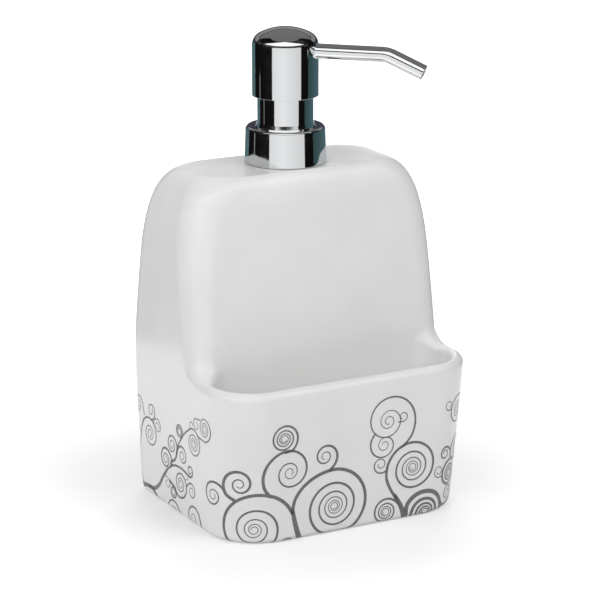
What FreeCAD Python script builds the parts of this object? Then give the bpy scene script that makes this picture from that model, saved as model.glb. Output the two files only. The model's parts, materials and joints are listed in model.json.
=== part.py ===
import FreeCAD, Part
import math
import os
import Sketcher
from FreeCAD import Vector

# Countertop soap dispenser with a sponge pocket in front and a lotion pump on top.
# X is to the right, -Y is the front and Z is up. The origin is on the table, under the
# middle of the ceramic body. All sizes are in millimetres.

SIZES = {
    # ceramic block round the pocket
    "rim_width": 111.0,
    "base_width": 104.5,
    "rim_depth": 90.0,
    "base_front_inset": 3.2,
    "rim_height": 61.0,
    "front_corner": 21.4,
    "back_corner": 10.4,
    "base_round": 2.2,
    "lip_round": 2.1,
    # sponge pocket
    "rim_wall": 4.7,
    "pocket_floor": 17.0,
    "pocket_floor_round": 3.0,
    "pocket_front_corner": 14.6,
    "pocket_rear_corner": 4.4,
    "pocket_bite": 1.0,
    # ceramic tower that holds the soap
    "ceramic_height": 133.4,
    "tower_setback": 25.1,
    "tower_front_lean": 12.2,
    "tower_back_lean": 10.7,
    "tower_foot_lean": 2.4,
    "tower_side_lean": 2.15,
    "tower_corner": 13.2,
    "shoulder_height": 38.1,
    "shoulder_inset": 16.6,
    "crown_height": 13.0,
    "crown_inset": 5.5,
    "tower_root_tuck": 0.6,
    "tower_rim_tuck": 0.36,
    "tower_root_drop": 8.4,
    "tower_lip_drop": 1.5,
    # concave sweep from the tower's front corners down to the rim
    "flare": 16.0,
    "flare_dip": 0.6,
    "flare_foot_corner": 9.5,
    "flare_tuck": 0.3,
    "flare_root": 18.0,
    # soap reservoir, neck and underside
    "reservoir_wall": 4.5,
    "reservoir_floor": 6.5,
    "crown_wall": 6.0,
    "overrun": 6.0,
    "neck_hole": 25.2,
    "foot_ring": 7.0,
    "foot_recess": 1.5,
    # fits of the pump's pieces
    "running_gap": 0.05,
    "snug_gap": 0.03,
    "glue_gap": 0.1,
    "screw_gap": 0.15,
    # threaded neck insert
    "insert_skirt": 9.0,
    "insert_bore": 22.4,
    "spigot_diameter": 26.8,
    "spigot_height": 8.6,
    # gasket and pump cylinder
    "gasket_bore": 18.4,
    "gasket_thickness": 1.0,
    "flange_diameter": 26.4,
    "flange_thickness": 1.4,
    "barrel_bore": 15.0,
    "barrel_wall": 1.2,
    "barrel_ledge": 101.3,
    "ledge_thickness": 1.6,
    "ball_chamber_bore": 6.2,
    "ball_chamber_height": 4.8,
    "inlet_throat": 3.2,
    "throat_length": 1.9,
    "socket_depth": 10.0,
    "socket_wall": 1.6,
    "vent_diameter": 1.6,
    "vent_drop": 4.0,
    # dip tube
    "dip_tube_diameter": 6.0,
    "dip_tube_wall": 0.9,
    "dip_tube_floor_gap": 4.0,
    "dip_tube_bevel": 3.0,
    # stem guide with its turret, and the stem wiper
    "guide_flange_diameter": 24.8,
    "guide_flange_thickness": 1.0,
    "guide_disc_thickness": 1.5,
    "guide_plug_wall": 1.15,
    "turret_diameter": 20.9,
    "turret_wall": 1.3,
    "turret_step": 1.5,
    "guide_plug_length": 6.0,
    "wiper_thickness": 1.2,
    # closure and the metal pieces on it
    "closure_foot_gap": 0.3,
    "closure_plate": 1.05,
    "closure_hole": 21.4,
    "collar_gap": 0.25,
    "collar_diameter": 32.0,
    "collar_top_diameter": 31.06,
    "collar_height": 14.0,
    "collar_wall": 0.55,
    "collar_hole": 23.1,
    "collar_edge_round": 0.5,
    "sleeve_diameter": 21.9,
    "sleeve_foot_diameter": 22.7,
    "sleeve_foot_height": 2.4,
    "sleeve_wall": 0.45,
    "sleeve_overlap": 2.8,
    "sleeve_flange_diameter": 25.2,
    "sleeve_flange_thickness": 0.5,
    # piston, stem and valve balls
    "stem_diameter": 7.2,
    "stem_bore": 4.0,
    "stem_foot_diameter": 12.8,
    "stem_foot_thickness": 1.2,
    "stem_port": 1.6,
    "stem_port_rise": 0.6,
    "stem_top_drop": 2.0,
    "socket_length": 12.1,
    "outlet_seat_bore": 2.7,
    "outlet_seat_height": 1.5,
    "seal_height": 5.0,
    "seal_lip": 1.3,
    "seal_hub": 1.6,
    "seal_web": 1.6,
    "seal_rest_gap": 0.3,
    "inlet_ball_diameter": 5.0,
    "outlet_ball_diameter": 3.2,
    "ball_gap": 0.02,
    "cage_thickness": 1.2,
    "cage_port": 2.0,
    "cage_port_circle": 5.2,
    # return spring
    "spring_diameter": 11.2,
    "spring_wire": 1.1,
    "spring_end_pitch": 1.75,
    # head
    "head_gap": 11.8,
    "head_diameter": 25.9,
    "head_height": 22.35,
    "dome_rise": 4.1,
    "head_wall": 0.5,
    "head_edge_round": 5.2,
    "core_edge_round": 5.0,
    "core_gap": 0.05,
    "dome_gap": 0.3,
    "core_floor_drop": 8.75,
    "core_socket_wall": 1.7,
    "outlet_chamber_bore": 4.4,
    "outlet_chamber_height": 3.6,
    "outlet_slot_width": 1.4,
    "outlet_slot_length": 4.0,
    # spout
    "spout_drop": 4.75,
    "spout_diameter": 6.0,
    "spout_wall": 0.4,
    "spout_root": 4.5,
    "spout_run": 38.4,
    "spout_bend": 10.0,
    "spout_tip": 13.4,
    "liner_wall": 0.8,
    "liner_inset": 0.6,
}
ANGLES = {
    "spout_turn_degrees": -45.0,
    "spout_tip_degrees": 23.5,
}
SPRING_COILS = 6
CAGE_PORTS = 3

# Shoulder of the tower: rise as a share of its height, on a rounded square curve.
SHOULDER_POWER = 2.44
SHOULDER_RISE_SHARES = (0.0, 0.24, 0.42, 0.57, 0.7, 0.8, 0.88, 0.94, 0.98, 1.0)
FLARE_RISE_SHARES = (0.0, 0.05, 0.14, 0.28, 0.5, 0.75, 0.96)
QUARTER_ROUND_DEGREES = (0, 30, 60, 90)
BIARCS_PER_TURN = 2
SPOTS_PER_ARC = 12
SAME_PLACE = 1e-4
LEAST_CUT = 1e-3

doc = FreeCAD.newDocument("soap_dispenser")
sheet = doc.addObject("Spreadsheet::Sheet", "Sizes")


def fill_sheet():
    """Write each driving size into a cell of its own, under its name."""
    for row, (alias, value) in enumerate({**SIZES, **ANGLES}.items(), start=1):
        sheet.set(f"A{row}", alias.replace("_", " "))
        sheet.set(f"B{row}", str(value))
        sheet.setAlias(f"B{row}", alias)
    doc.recompute()


class Size:
    """A size worked out from the sheet's cells: its formula and its present value."""

    def __init__(self, formula, value):
        self.formula = formula
        self.value = value

    def joined(self, sign, other, value):
        text = other.formula if isinstance(other, Size) else repr(float(other))
        return Size(f"({self.formula} {sign} {text})", value)

    def __add__(self, other):
        return self.joined("+", other, self.value + value_of(other))

    def __sub__(self, other):
        return self.joined("-", other, self.value - value_of(other))

    def __mul__(self, other):
        return self.joined("*", other, self.value * value_of(other))

    def __truediv__(self, other):
        return self.joined("/", other, self.value / value_of(other))

    def __neg__(self):
        return Size(f"(-1 * {self.formula})", -self.value)


def square_root(size):
    return Size(f"sqrt({size.formula})", math.sqrt(size.value))


def value_of(thing):
    return thing.value if isinstance(thing, Size) else float(thing)


class Cells:
    """The sheet's named cells, read as sizes: cells.rim_width."""

    def __getattr__(self, alias):
        return Size(f"Sizes.{alias}", float(sheet.get(alias)))


fill_sheet()
cells = Cells()
ZERO = Size("0", 0.0)


def new_body(name):
    body = doc.addObject("PartDesign::Body", name)
    body.Label = name
    return body


def plane_sketch(body, role, name, lift=None):
    """An empty sketch on one of the body's own origin planes, lifted along its normal."""
    plane = next(item for item in body.Origin.OriginFeatures if item.Role == role)
    sketch = body.newObject("Sketcher::SketchObject", name)
    sketch.AttachmentSupport = [(plane, "")]
    sketch.MapMode = "FlatFace"
    if lift is not None:
        sketch.setExpression("AttachmentOffset.Base.z", lift.formula)
    return sketch


def bind(sketch, constraint, size):
    """Add one dimension to a sketch and tie it to the sheet."""
    index = sketch.addConstraint(constraint)
    sketch.setExpression(f"Constraints[{index}]", size.formula)


def pin_point(sketch, item, point, across, up):
    """Fix a point of the sketch at a distance across and up from its origin."""
    for kind, size, axis in (("DistanceX", across, -2), ("DistanceY", up, -1)):
        if size is ZERO:
            sketch.addConstraint(Sketcher.Constraint("PointOnObject", item, point, axis))
        else:
            bind(sketch, Sketcher.Constraint(kind, -1, 1, item, point, size.value), size)


def outline(sketch, corners):
    """Closed outline through corners (across, up). A corner that starts an arc holds a third
    entry: the arc's centre then lies on the sketch's upright axis."""
    count = len(corners)
    spots = [Vector(value_of(corner[0]), value_of(corner[1]), 0) for corner in corners]
    for index, corner in enumerate(corners):
        start, end = spots[index], spots[(index + 1) % count]
        if len(corner) == 3:
            sketch.addGeometry(axis_arc(start, end))
        else:
            sketch.addGeometry(Part.LineSegment(start, end))
    for index, corner in enumerate(corners):
        after = (index + 1) % count
        tail = arc_tail(spots[index], spots[after]) if len(corner) == 3 else 2
        head = 3 - arc_tail(spots[after], spots[(after + 1) % count]) if len(corners[after]) == 3 else 1
        sketch.addConstraint(Sketcher.Constraint("Coincident", index, tail, after, head))
        if len(corner) == 3:
            sketch.addConstraint(Sketcher.Constraint("PointOnObject", index, 3, -2))
    for index, corner in enumerate(corners):
        if len(corner) == 2:
            pin_point(sketch, index, 1, corner[0], corner[1])
        else:
            head = 3 - arc_tail(spots[index], spots[(index + 1) % count])
            pin_point(sketch, index, head, corner[0], corner[1])


def arc_centre(start, end):
    """Centre on the upright axis of the arc through two points."""
    rise = (end.x ** 2 + end.y ** 2 - start.x ** 2 - start.y ** 2) / (2 * (end.y - start.y))
    return Vector(0, rise, 0)


def axis_arc(start, end):
    centre = arc_centre(start, end)
    angles = sorted(math.atan2(spot.y - centre.y, spot.x - centre.x) for spot in (start, end))
    circle = Part.Circle(centre, Vector(0, 0, 1), start.distanceToPoint(centre))
    return Part.ArcOfCircle(circle, angles[0], angles[1])


def arc_tail(start, end):
    """Which end of the arc, 1 or 2, lies at the outline's next corner."""
    centre = arc_centre(start, end)
    turn = [math.atan2(spot.y - centre.y, spot.x - centre.x) for spot in (start, end)]
    return 2 if turn[1] > turn[0] else 1


def rounded_section(body, name, lift, half_width, front, back, front_round, back_round):
    """A rounded rectangle across the body at one height, even about X = 0."""
    sketch = plane_sketch(body, "XY_Plane", name, lift)
    hubs = (
        (half_width - front_round, front + front_round, front_round, -90),
        (half_width - back_round, back - back_round, back_round, 0),
        (back_round - half_width, back - back_round, back_round, 90),
        (front_round - half_width, front + front_round, front_round, 180),
    )
    ends = []
    for across, along, bend, start in hubs:
        circle = Part.Circle(Vector(across.value, along.value, 0), Vector(0, 0, 1), bend.value)
        arc = Part.ArcOfCircle(circle, math.radians(start), math.radians(start + 90))
        ends.append((arc.StartPoint, arc.EndPoint))
        sketch.addGeometry(arc)
    for index in range(4):
        sketch.addGeometry(Part.LineSegment(ends[index][1], ends[(index + 1) % 4][0]))
    for index, (across, along, bend, start) in enumerate(hubs):
        line = 4 + index
        sketch.addConstraint([
            Sketcher.Constraint("Tangent", index, 2, line, 1),
            Sketcher.Constraint("Tangent", line, 2, (index + 1) % 4, 1),
        ])
        bind(sketch, Sketcher.Constraint("Radius", index, bend.value), bend)
        pin_point(sketch, index, 3, across, along)
    return sketch


def loft(body, kind, name, sections):
    feature = body.newObject(kind, name)
    feature.Profile = sections[0]
    feature.Sections = sections[1:]
    feature.Ruled = True
    doc.recompute()
    return feature


def fillet(body, name, size, wanted):
    """Round the edges of the body's tip that the test picks."""
    doc.recompute()
    base = body.Tip
    names = [f"Edge{number}" for number, edge in enumerate(base.Shape.Edges, start=1) if wanted(edge)]
    feature = body.newObject("PartDesign::Fillet", name)
    feature.Base = (base, names)
    feature.setExpression("Radius", size.formula)
    doc.recompute()
    return feature


def level_edge(edge, height):
    """Whether an edge lies flat at a height."""
    box = edge.BoundBox
    return max(abs(box.ZMin - height.value), abs(box.ZMax - height.value)) < SAME_PLACE


def level_ring(edge, height, radius):
    """Whether an edge is a level circle of a radius at a height."""
    level = level_edge(edge, height) and isinstance(edge.Curve, Part.Circle)
    return level and abs(edge.Curve.Radius - radius.value) < SAME_PLACE


def on_pump_axis(body, turned_to=None):
    """Stand a body on the pump's axis, turned about it where asked."""
    body.setExpression("Placement.Base.y", pump_axis.formula)
    if turned_to is not None:
        body.setExpression("Placement.Rotation.Angle", turned_to)


def turned(name, corners, turned_to=None):
    """A piece turned about the pump's axis from an outline of (radius, height) corners."""
    body = new_body(name)
    on_pump_axis(body, turned_to)
    sketch = plane_sketch(body, "XZ_Plane", f"{name}_outline")
    outline(sketch, corners)
    turn = body.newObject("PartDesign::Revolution", f"{name}_turn")
    turn.Profile = sketch
    turn.ReferenceAxis = (sketch, ["V_Axis"])
    turn.Angle = 360
    doc.recompute()
    return body


def cut_through(body, sketch, name, length=None, reverse=False, both_ways=False):
    """Cut a sketch through the body, or to a length, and make sure that it removed something."""
    doc.recompute()
    before = body.Shape.Volume
    pocket = body.newObject("PartDesign::Pocket", name)
    pocket.Profile = sketch
    if length is None:
        pocket.Type = "ThroughAll"
    else:
        pocket.Type = "Length"
        pocket.setExpression("Length", length.formula)
    pocket.Reversed = reverse
    if both_ways:
        pocket.Midplane = True
    doc.recompute()
    assert body.Shape.Volume < before - LEAST_CUT, f"{name} removes nothing"
    return pocket


def circle_sketch(body, role, name, across, up, diameter, lift=None):
    sketch = plane_sketch(body, role, name, lift)
    centre = Vector(across.value, up.value, 0)
    sketch.addGeometry(Part.Circle(centre, Vector(0, 0, 1), diameter.value / 2))
    pin_point(sketch, 0, 3, across, up)
    bind(sketch, Sketcher.Constraint("Diameter", 0, diameter.value), diameter)
    return sketch


# Places that several pieces share
half_depth = cells.rim_depth / 2
front_y = -half_depth
tower_front = front_y + cells.tower_setback
crown_front = tower_front + cells.tower_front_lean
crown_back = half_depth - cells.tower_back_lean
pump_axis = (crown_front + crown_back) / 2
land = cells.ceramic_height
tower_rise = cells.ceramic_height - cells.rim_height

spigot_top = land + cells.spigot_height
gasket_top = spigot_top + cells.gasket_thickness
flange_top = gasket_top + cells.flange_thickness
guide_top = flange_top + cells.guide_flange_thickness
closure_top = guide_top + cells.closure_plate
collar_foot = land + cells.collar_gap
collar_top = collar_foot + cells.collar_height
head_foot = collar_top + cells.head_gap
head_shoulder = head_foot + cells.head_height
head_top = head_shoulder + cells.dome_rise
core_floor = head_shoulder - cells.core_floor_drop
sleeve_top = head_foot + cells.sleeve_overlap
spout_height = head_shoulder - cells.spout_drop


def wall_half_width(height):
    """Half width of the block's outside at a height below the rim."""
    return cells.base_width / 2 + (cells.rim_width - cells.base_width) / 2 * (height / cells.rim_height)


def wall_front(height):
    """Front of the block's outside at a height below the rim."""
    return front_y + cells.base_front_inset - cells.base_front_inset * (height / cells.rim_height)


def tower_share(height):
    return (height - cells.rim_height) / tower_rise


def tower_plan(height):
    """Half width, front and back of the tower above the rim, without its shoulder."""
    share = tower_share(height)
    half_width = cells.rim_width / 2 - cells.tower_side_lean * share
    front = tower_front + cells.tower_front_lean * share
    back = half_depth - cells.tower_back_lean * share
    return half_width, front, back


def shoulder_share(rise_share):
    """How far the shoulder has drawn in at a share of its rise."""
    return 1 - (1 - rise_share ** SHOULDER_POWER) ** (1 / SHOULDER_POWER)


def crown_share(drop):
    """How far the front and back edges of the crown have drawn in, at a drop below its top."""
    rise = 1 - drop.value / cells.crown_height.value
    return 1 - math.sqrt(1 - rise ** 2) if rise > 0 else 0.0


def quarter_steps(radius):
    """A quarter round in steps: how far along it goes and how far in it still is."""
    steps = []
    for degrees in QUARTER_ROUND_DEGREES:
        angle = math.radians(degrees)
        steps.append((radius * (1 - math.cos(angle)), radius * (1 - math.sin(angle))))
    return steps


def block_section(body, name, height, inset):
    """The block's outside at a height, drawn in all round."""
    return rounded_section(body, name, height, wall_half_width(height) - inset,
                           wall_front(height) + inset, half_depth - inset,
                           cells.front_corner - inset, cells.back_corner - inset)


def pocket_section(body, name, height, inset, wall_height=None):
    """The pocket's inside at a height, drawn in all round."""
    level = height if wall_height is None else wall_height
    return rounded_section(body, name, height, wall_half_width(level) - cells.rim_wall - inset,
                           wall_front(level) + cells.rim_wall + inset,
                           tower_front + cells.pocket_bite - inset,
                           cells.pocket_front_corner - inset, cells.pocket_rear_corner - inset)


def add_block(body):
    """Outside of the lower block, with a rounded base edge and a rounded lip."""
    foot = [block_section(body, f"base_round_{index}", rise, inset)
            for index, (rise, inset) in enumerate(quarter_steps(cells.base_round))]
    lip = [block_section(body, f"lip_round_{index}", cells.rim_height - rise, inset)
           for index, (rise, inset) in enumerate(quarter_steps(cells.lip_round))]
    loft(body, "PartDesign::AdditiveLoft", "block", foot + lip[::-1])


def cut_pocket(body):
    """Sponge pocket with a rounded floor edge and a rounded mouth. The tower closes its back."""
    floor = [pocket_section(body, f"floor_round_{index}", cells.pocket_floor + rise, inset)
             for index, (rise, inset) in enumerate(quarter_steps(cells.pocket_floor_round))]
    mouth = [pocket_section(body, f"mouth_round_{index}", cells.rim_height - rise, -inset)
             for index, (rise, inset) in enumerate(quarter_steps(cells.lip_round))]
    loft(body, "PartDesign::SubtractiveLoft", "pocket", floor + mouth[::-1])


def add_flare(body):
    """Concave sweep that carries the tower's front corners down to the side rims."""
    foot = cells.rim_height - cells.flare_dip
    sections = []
    for index, share in enumerate(FLARE_RISE_SHARES):
        height = foot + cells.flare * share
        half_width, front, back = tower_plan(height)
        reach_share = 1 - math.sqrt(1 - (1 - share) ** 2)
        reach = cells.flare * reach_share - cells.flare_tuck
        corner = cells.flare_foot_corner + (cells.tower_corner - cells.flare_foot_corner) * share
        sections.append((height, half_width - cells.flare_tuck, front - reach,
                         front + cells.flare_root, corner, cells.pocket_rear_corner))
    root = (foot - cells.lip_round,) + sections[0][1:]
    sketches = [rounded_section(body, f"flare_{index}", *section)
                for index, section in enumerate([root] + sections)]
    loft(body, "PartDesign::AdditiveLoft", "flare", sketches)
    top = cells.rim_height + cells.flare + cells.flare_dip
    low = foot - cells.lip_round - cells.flare_dip
    opening = [pocket_section(body, "opening_low", low, ZERO),
               pocket_section(body, "opening_rim", cells.rim_height, ZERO),
               pocket_section(body, "opening_top", top, ZERO, cells.rim_height)]
    loft(body, "PartDesign::SubtractiveLoft", "pocket_opening", opening)


def shoulder_heights(start, top, shares):
    return [start + (top - start) * share for share in shares]


def add_tower(body):
    """Tower from inside the block up to the crown, with drawn-in shoulders."""
    sections = []
    low = cells.base_round + cells.tower_root_tuck
    near_rim = cells.rim_height - cells.tower_root_drop
    at_lip = cells.rim_height - cells.tower_lip_drop
    for height, tuck in ((low, cells.tower_root_tuck), (near_rim, cells.tower_rim_tuck), (at_lip, ZERO)):
        foot_share = (cells.rim_height - height) / cells.rim_height
        sections.append((height, wall_half_width(height) - tuck,
                         tower_front - cells.tower_foot_lean * foot_share,
                         half_depth - tuck))
    half_width, front, back = tower_plan(cells.rim_height + cells.flare)
    sections.append((cells.rim_height + cells.flare, half_width, front, back))
    shoulder_start = land - cells.shoulder_height
    shares = SHOULDER_RISE_SHARES
    for height, share in zip(shoulder_heights(shoulder_start, land, shares), shares):
        half_width, front, back = tower_plan(height)
        draw = cells.crown_inset * crown_share(land - height)
        inset = cells.shoulder_inset * shoulder_share(share)
        sections.append((height, half_width - inset, front + draw, back - draw))
    sketches = [
        rounded_section(body, f"tower_{index}", height, half_width, front, back,
                        cells.tower_corner, cells.back_corner)
        for index, (height, half_width, front, back) in enumerate(sections)
    ]
    loft(body, "PartDesign::AdditiveLoft", "tower", sketches)


def cut_reservoir(body):
    """Room for the soap inside the tower, a wall's thickness in from the outside."""
    wall = cells.reservoir_wall
    ceiling = land - cells.crown_wall
    corner = cells.tower_corner - wall
    back_corner = cells.back_corner - wall
    sections = []
    for height in (cells.reservoir_floor, cells.rim_height):
        foot_share = (cells.rim_height - height) / cells.rim_height
        sections.append((height, wall_half_width(height) - wall,
                         tower_front - cells.tower_foot_lean * foot_share + wall, half_depth - wall))
    shoulder_start = land - cells.shoulder_height
    shares = SHOULDER_RISE_SHARES[::3]
    for height, share in zip(shoulder_heights(shoulder_start, ceiling, shares), shares):
        half_width, front, back = tower_plan(height)
        inset = cells.shoulder_inset * shoulder_share(share)
        sections.append((height, half_width - inset - wall, front + wall, back - wall))
    sketches = [
        rounded_section(body, f"reservoir_{index}", height, half_width, front, back, corner, back_corner)
        for index, (height, half_width, front, back) in enumerate(sections)
    ]
    loft(body, "PartDesign::SubtractiveLoft", "reservoir", sketches)


def make_ceramic_body():
    body = new_body("ceramic_body")
    add_block(body)
    cut_pocket(body)
    add_flare(body)
    add_tower(body)
    cut_reservoir(body)
    neck = circle_sketch(body, "XY_Plane", "neck_circle", ZERO, pump_axis, cells.neck_hole, land)
    cut_through(body, neck, "neck_hole", cells.crown_wall + cells.overrun)
    ring = cells.foot_ring
    recess = rounded_section(body, "recess_outline", ZERO, cells.base_width / 2 - ring,
                             wall_front(ZERO) + ring, half_depth - ring,
                             cells.front_corner - ring, cells.back_corner - ring)
    cut_through(body, recess, "foot_recess", cells.foot_recess, reverse=True)
    return body


def make_neck_insert():
    """Threaded ring that is glued into the ceramic neck."""
    skirt = cells.neck_hole / 2 - cells.glue_gap
    bore = cells.insert_bore / 2
    spigot = cells.spigot_diameter / 2
    foot = land - cells.insert_skirt
    return turned("neck_insert", [(bore, foot), (skirt, foot), (skirt, land), (spigot, land),
                                  (spigot, spigot_top), (bore, spigot_top)])


def make_neck_gasket():
    inner = cells.gasket_bore / 2
    outer = cells.flange_diameter / 2
    return turned("neck_gasket", [(inner, spigot_top), (outer, spigot_top),
                                  (outer, gasket_top), (inner, gasket_top)])


barrel = cells.barrel_bore / 2
ledge = cells.barrel_ledge
chamber = cells.ball_chamber_bore / 2
throat = cells.inlet_throat / 2
cone_top = ledge - cells.ball_chamber_height
cone_foot = cone_top - (chamber - throat)
socket_top = cone_foot - cells.throat_length
socket = cells.dip_tube_diameter / 2 + cells.snug_gap
socket_foot = socket_top - cells.socket_depth


def make_pump_cylinder():
    """Barrel with the inlet valve's seat and the dip tube's socket at its foot."""
    outside = barrel + cells.barrel_wall
    neck = socket + cells.socket_wall
    flange = cells.flange_diameter / 2
    under_ledge = ledge - cells.ledge_thickness
    step = outside - neck
    body = turned("pump_cylinder", [
        (barrel, flange_top), (barrel, ledge), (chamber, ledge), (chamber, cone_top),
        (throat, cone_foot), (throat, socket_top), (socket, socket_top), (socket, socket_foot),
        (neck, socket_foot), (neck, under_ledge - step), (outside, under_ledge),
        (outside, gasket_top), (flange, gasket_top), (flange, flange_top)])
    vent = circle_sketch(body, "YZ_Plane", "vent_circle", ZERO, gasket_top - cells.vent_drop,
                         cells.vent_diameter)
    cut_through(body, vent, "air_vent", reverse=True)
    return body


def make_dip_tube():
    """Straight tube to the reservoir's floor, with a slanted foot that can't block."""
    outer = cells.dip_tube_diameter / 2
    inner = outer - cells.dip_tube_wall
    foot = cells.reservoir_floor + cells.dip_tube_floor_gap
    body = turned("dip_tube", [(inner, foot), (outer, foot), (outer, socket_top), (inner, socket_top)])
    slant = plane_sketch(body, "XZ_Plane", "slant_outline")
    outline(slant, [(-outer, foot), (outer, foot), (outer, foot + cells.dip_tube_bevel)])
    cut_through(body, slant, "slanted_foot", both_ways=True)
    return body


guide_disc_foot = guide_top - cells.guide_disc_thickness
guide_plug = barrel - cells.snug_gap
guide_plug_foot = guide_disc_foot - cells.guide_plug_length
guide_plug_bore = guide_plug - cells.guide_plug_wall
turret = cells.turret_diameter / 2
turret_top = sleeve_top - cells.turret_step
stem = cells.stem_diameter / 2
stem_top = core_floor - cells.stem_top_drop
seal_top = guide_plug_foot - cells.seal_rest_gap
seal_foot = seal_top - cells.seal_height
stem_flange_top = seal_foot - cells.running_gap
stem_foot = stem_flange_top - cells.stem_foot_thickness
cage_top = ledge + cells.cage_thickness


def make_stem_guide():
    """Guide that snaps into the barrel, with the turret that backs the metal sleeve."""
    bore = stem + cells.running_gap
    flange = cells.guide_flange_diameter / 2
    return turned("stem_guide", [
        (bore, guide_top), (bore, guide_disc_foot), (guide_plug_bore, guide_disc_foot),
        (guide_plug_bore, guide_plug_foot), (guide_plug, guide_plug_foot), (guide_plug, flange_top),
        (flange, flange_top), (flange, guide_top), (turret, guide_top), (turret, turret_top),
        (turret - cells.turret_wall, turret_top), (turret - cells.turret_wall, guide_top)])


def make_stem_wiper():
    """Rubber ring under the guide that wipes the stem."""
    inner = stem + cells.snug_gap
    outer = guide_plug_bore - cells.snug_gap
    foot = guide_disc_foot - cells.wiper_thickness
    return turned("stem_wiper", [(inner, foot), (outer, foot),
                                 (outer, guide_disc_foot), (inner, guide_disc_foot)])


def collar_radius(height):
    """Outside radius of the metal collar at a height."""
    draw = (cells.collar_diameter - cells.collar_top_diameter) / 2
    return cells.collar_diameter / 2 - draw * ((height - collar_foot) / cells.collar_height)


def make_closure_cap():
    """Screw cap under the metal collar, which holds the pump's flange down."""
    inner = cells.spigot_diameter / 2 + cells.screw_gap
    foot = collar_foot + cells.closure_foot_gap
    hole = cells.closure_hole / 2
    skin = cells.collar_wall + cells.glue_gap
    return turned("closure_cap", [
        (inner, foot), (collar_radius(foot) - skin, foot), (collar_radius(closure_top) - skin, closure_top),
        (hole, closure_top), (hole, guide_top), (inner, guide_top)])


def make_collar_shell():
    """Tapered chrome collar with a flat top."""
    wall = cells.collar_wall
    hole = cells.collar_hole / 2
    under = collar_top - wall
    body = turned("collar_shell", [
        (collar_radius(collar_foot) - wall, collar_foot), (collar_radius(collar_foot), collar_foot),
        (collar_radius(collar_top), collar_top), (hole, collar_top), (hole, under),
        (collar_radius(under) - wall, under)])
    rim = collar_radius(collar_top)
    fillet(body, "collar_edge", cells.collar_edge_round, lambda edge: level_ring(edge, collar_top, rim))
    return body


def make_guide_sleeve():
    """Chrome sleeve that stands on the closure, round the turret."""
    inner = cells.sleeve_diameter / 2 - cells.sleeve_wall
    outer = cells.sleeve_diameter / 2
    foot = cells.sleeve_foot_diameter / 2
    flange = cells.sleeve_flange_diameter / 2
    flange_face = closure_top + cells.sleeve_flange_thickness
    step = collar_top + cells.sleeve_foot_height
    return turned("guide_sleeve", [
        (inner, closure_top), (flange, closure_top), (flange, flange_face), (foot, flange_face),
        (foot, step), (outer, step), (outer, sleeve_top), (inner, sleeve_top)])


def make_piston_stem():
    """Hollow stem with a foot flange, inlet ports over it and the outlet valve's seat on top."""
    bore = cells.stem_bore / 2
    seat = cells.outlet_seat_bore / 2
    seat_foot = stem_top - cells.outlet_seat_height
    flange = cells.stem_foot_diameter / 2
    body = turned("piston_stem", [
        (ZERO, stem_foot), (flange, stem_foot), (flange, stem_flange_top), (stem, stem_flange_top),
        (stem, stem_top), (seat, stem_top), (seat, seat_foot), (bore, seat_foot),
        (bore, stem_flange_top), (ZERO, stem_flange_top)], "Sizes.spout_turn_degrees")
    height = stem_flange_top + cells.stem_port_rise + cells.stem_port / 2
    port = circle_sketch(body, "YZ_Plane", "stem_port_circle", ZERO, height, cells.stem_port)
    cut_through(body, port, "stem_ports", both_ways=True)
    return body


def make_piston_seal():
    """Sliding seal: a hub on the stem and a lipped band on the barrel, joined by a web."""
    hub = stem + cells.running_gap
    hub_out = hub + cells.seal_hub
    band = barrel - cells.running_gap
    band_in = band - cells.seal_lip
    web_foot = seal_foot + (cells.seal_height - cells.seal_web) / 2
    web_top = web_foot + cells.seal_web
    return turned("piston_seal", [
        (hub, seal_foot), (hub_out, seal_foot), (hub_out, web_foot), (band_in, web_foot),
        (band_in, seal_foot), (band, seal_foot), (band, seal_top), (band_in, seal_top),
        (band_in, web_top), (hub_out, web_top), (hub_out, seal_top), (hub, seal_top)])


def make_ball_cage():
    """Ported disc that keeps the inlet ball down and carries the return spring."""
    rim = barrel - cells.glue_gap
    body = turned("ball_cage", [(ZERO, ledge), (rim, ledge), (rim, cage_top), (ZERO, cage_top)])
    port = circle_sketch(body, "XY_Plane", "cage_port_circle", cells.cage_port_circle / 2, ZERO,
                         cells.cage_port, ledge)
    cut = cut_through(body, port, "first_cage_port", reverse=True)
    pattern = body.newObject("PartDesign::PolarPattern", "cage_ports")
    pattern.Originals = [cut]
    pattern.Axis = (next(item for item in body.Origin.OriginFeatures if item.Role == "Z_Axis"), [""])
    pattern.Angle = 360
    pattern.Occurrences = CAGE_PORTS
    body.Tip = pattern
    doc.recompute()
    return body


def make_ball(name, diameter, height):
    ball = doc.addObject("Part::Sphere", name)
    ball.Label = name
    ball.setExpression("Radius", (diameter / 2).formula)
    ball.setExpression("Placement.Base.y", pump_axis.formula)
    ball.setExpression("Placement.Base.z", height.formula)
    return ball


def make_inlet_ball():
    """Ball on the 45 degree cone at the barrel's foot."""
    reach = (cells.inlet_ball_diameter / 2 + cells.ball_gap) * math.sqrt(2)
    return make_ball("inlet_ball", cells.inlet_ball_diameter, cone_foot - throat + reach)


def make_outlet_ball():
    """Ball on the edge of the stem's top bore."""
    ball = cells.outlet_ball_diameter / 2
    seat = cells.outlet_seat_bore / 2
    rise = square_root(ball * ball - seat * seat)
    return make_ball("outlet_ball", cells.outlet_ball_diameter, stem_top + rise + cells.ball_gap)


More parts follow.
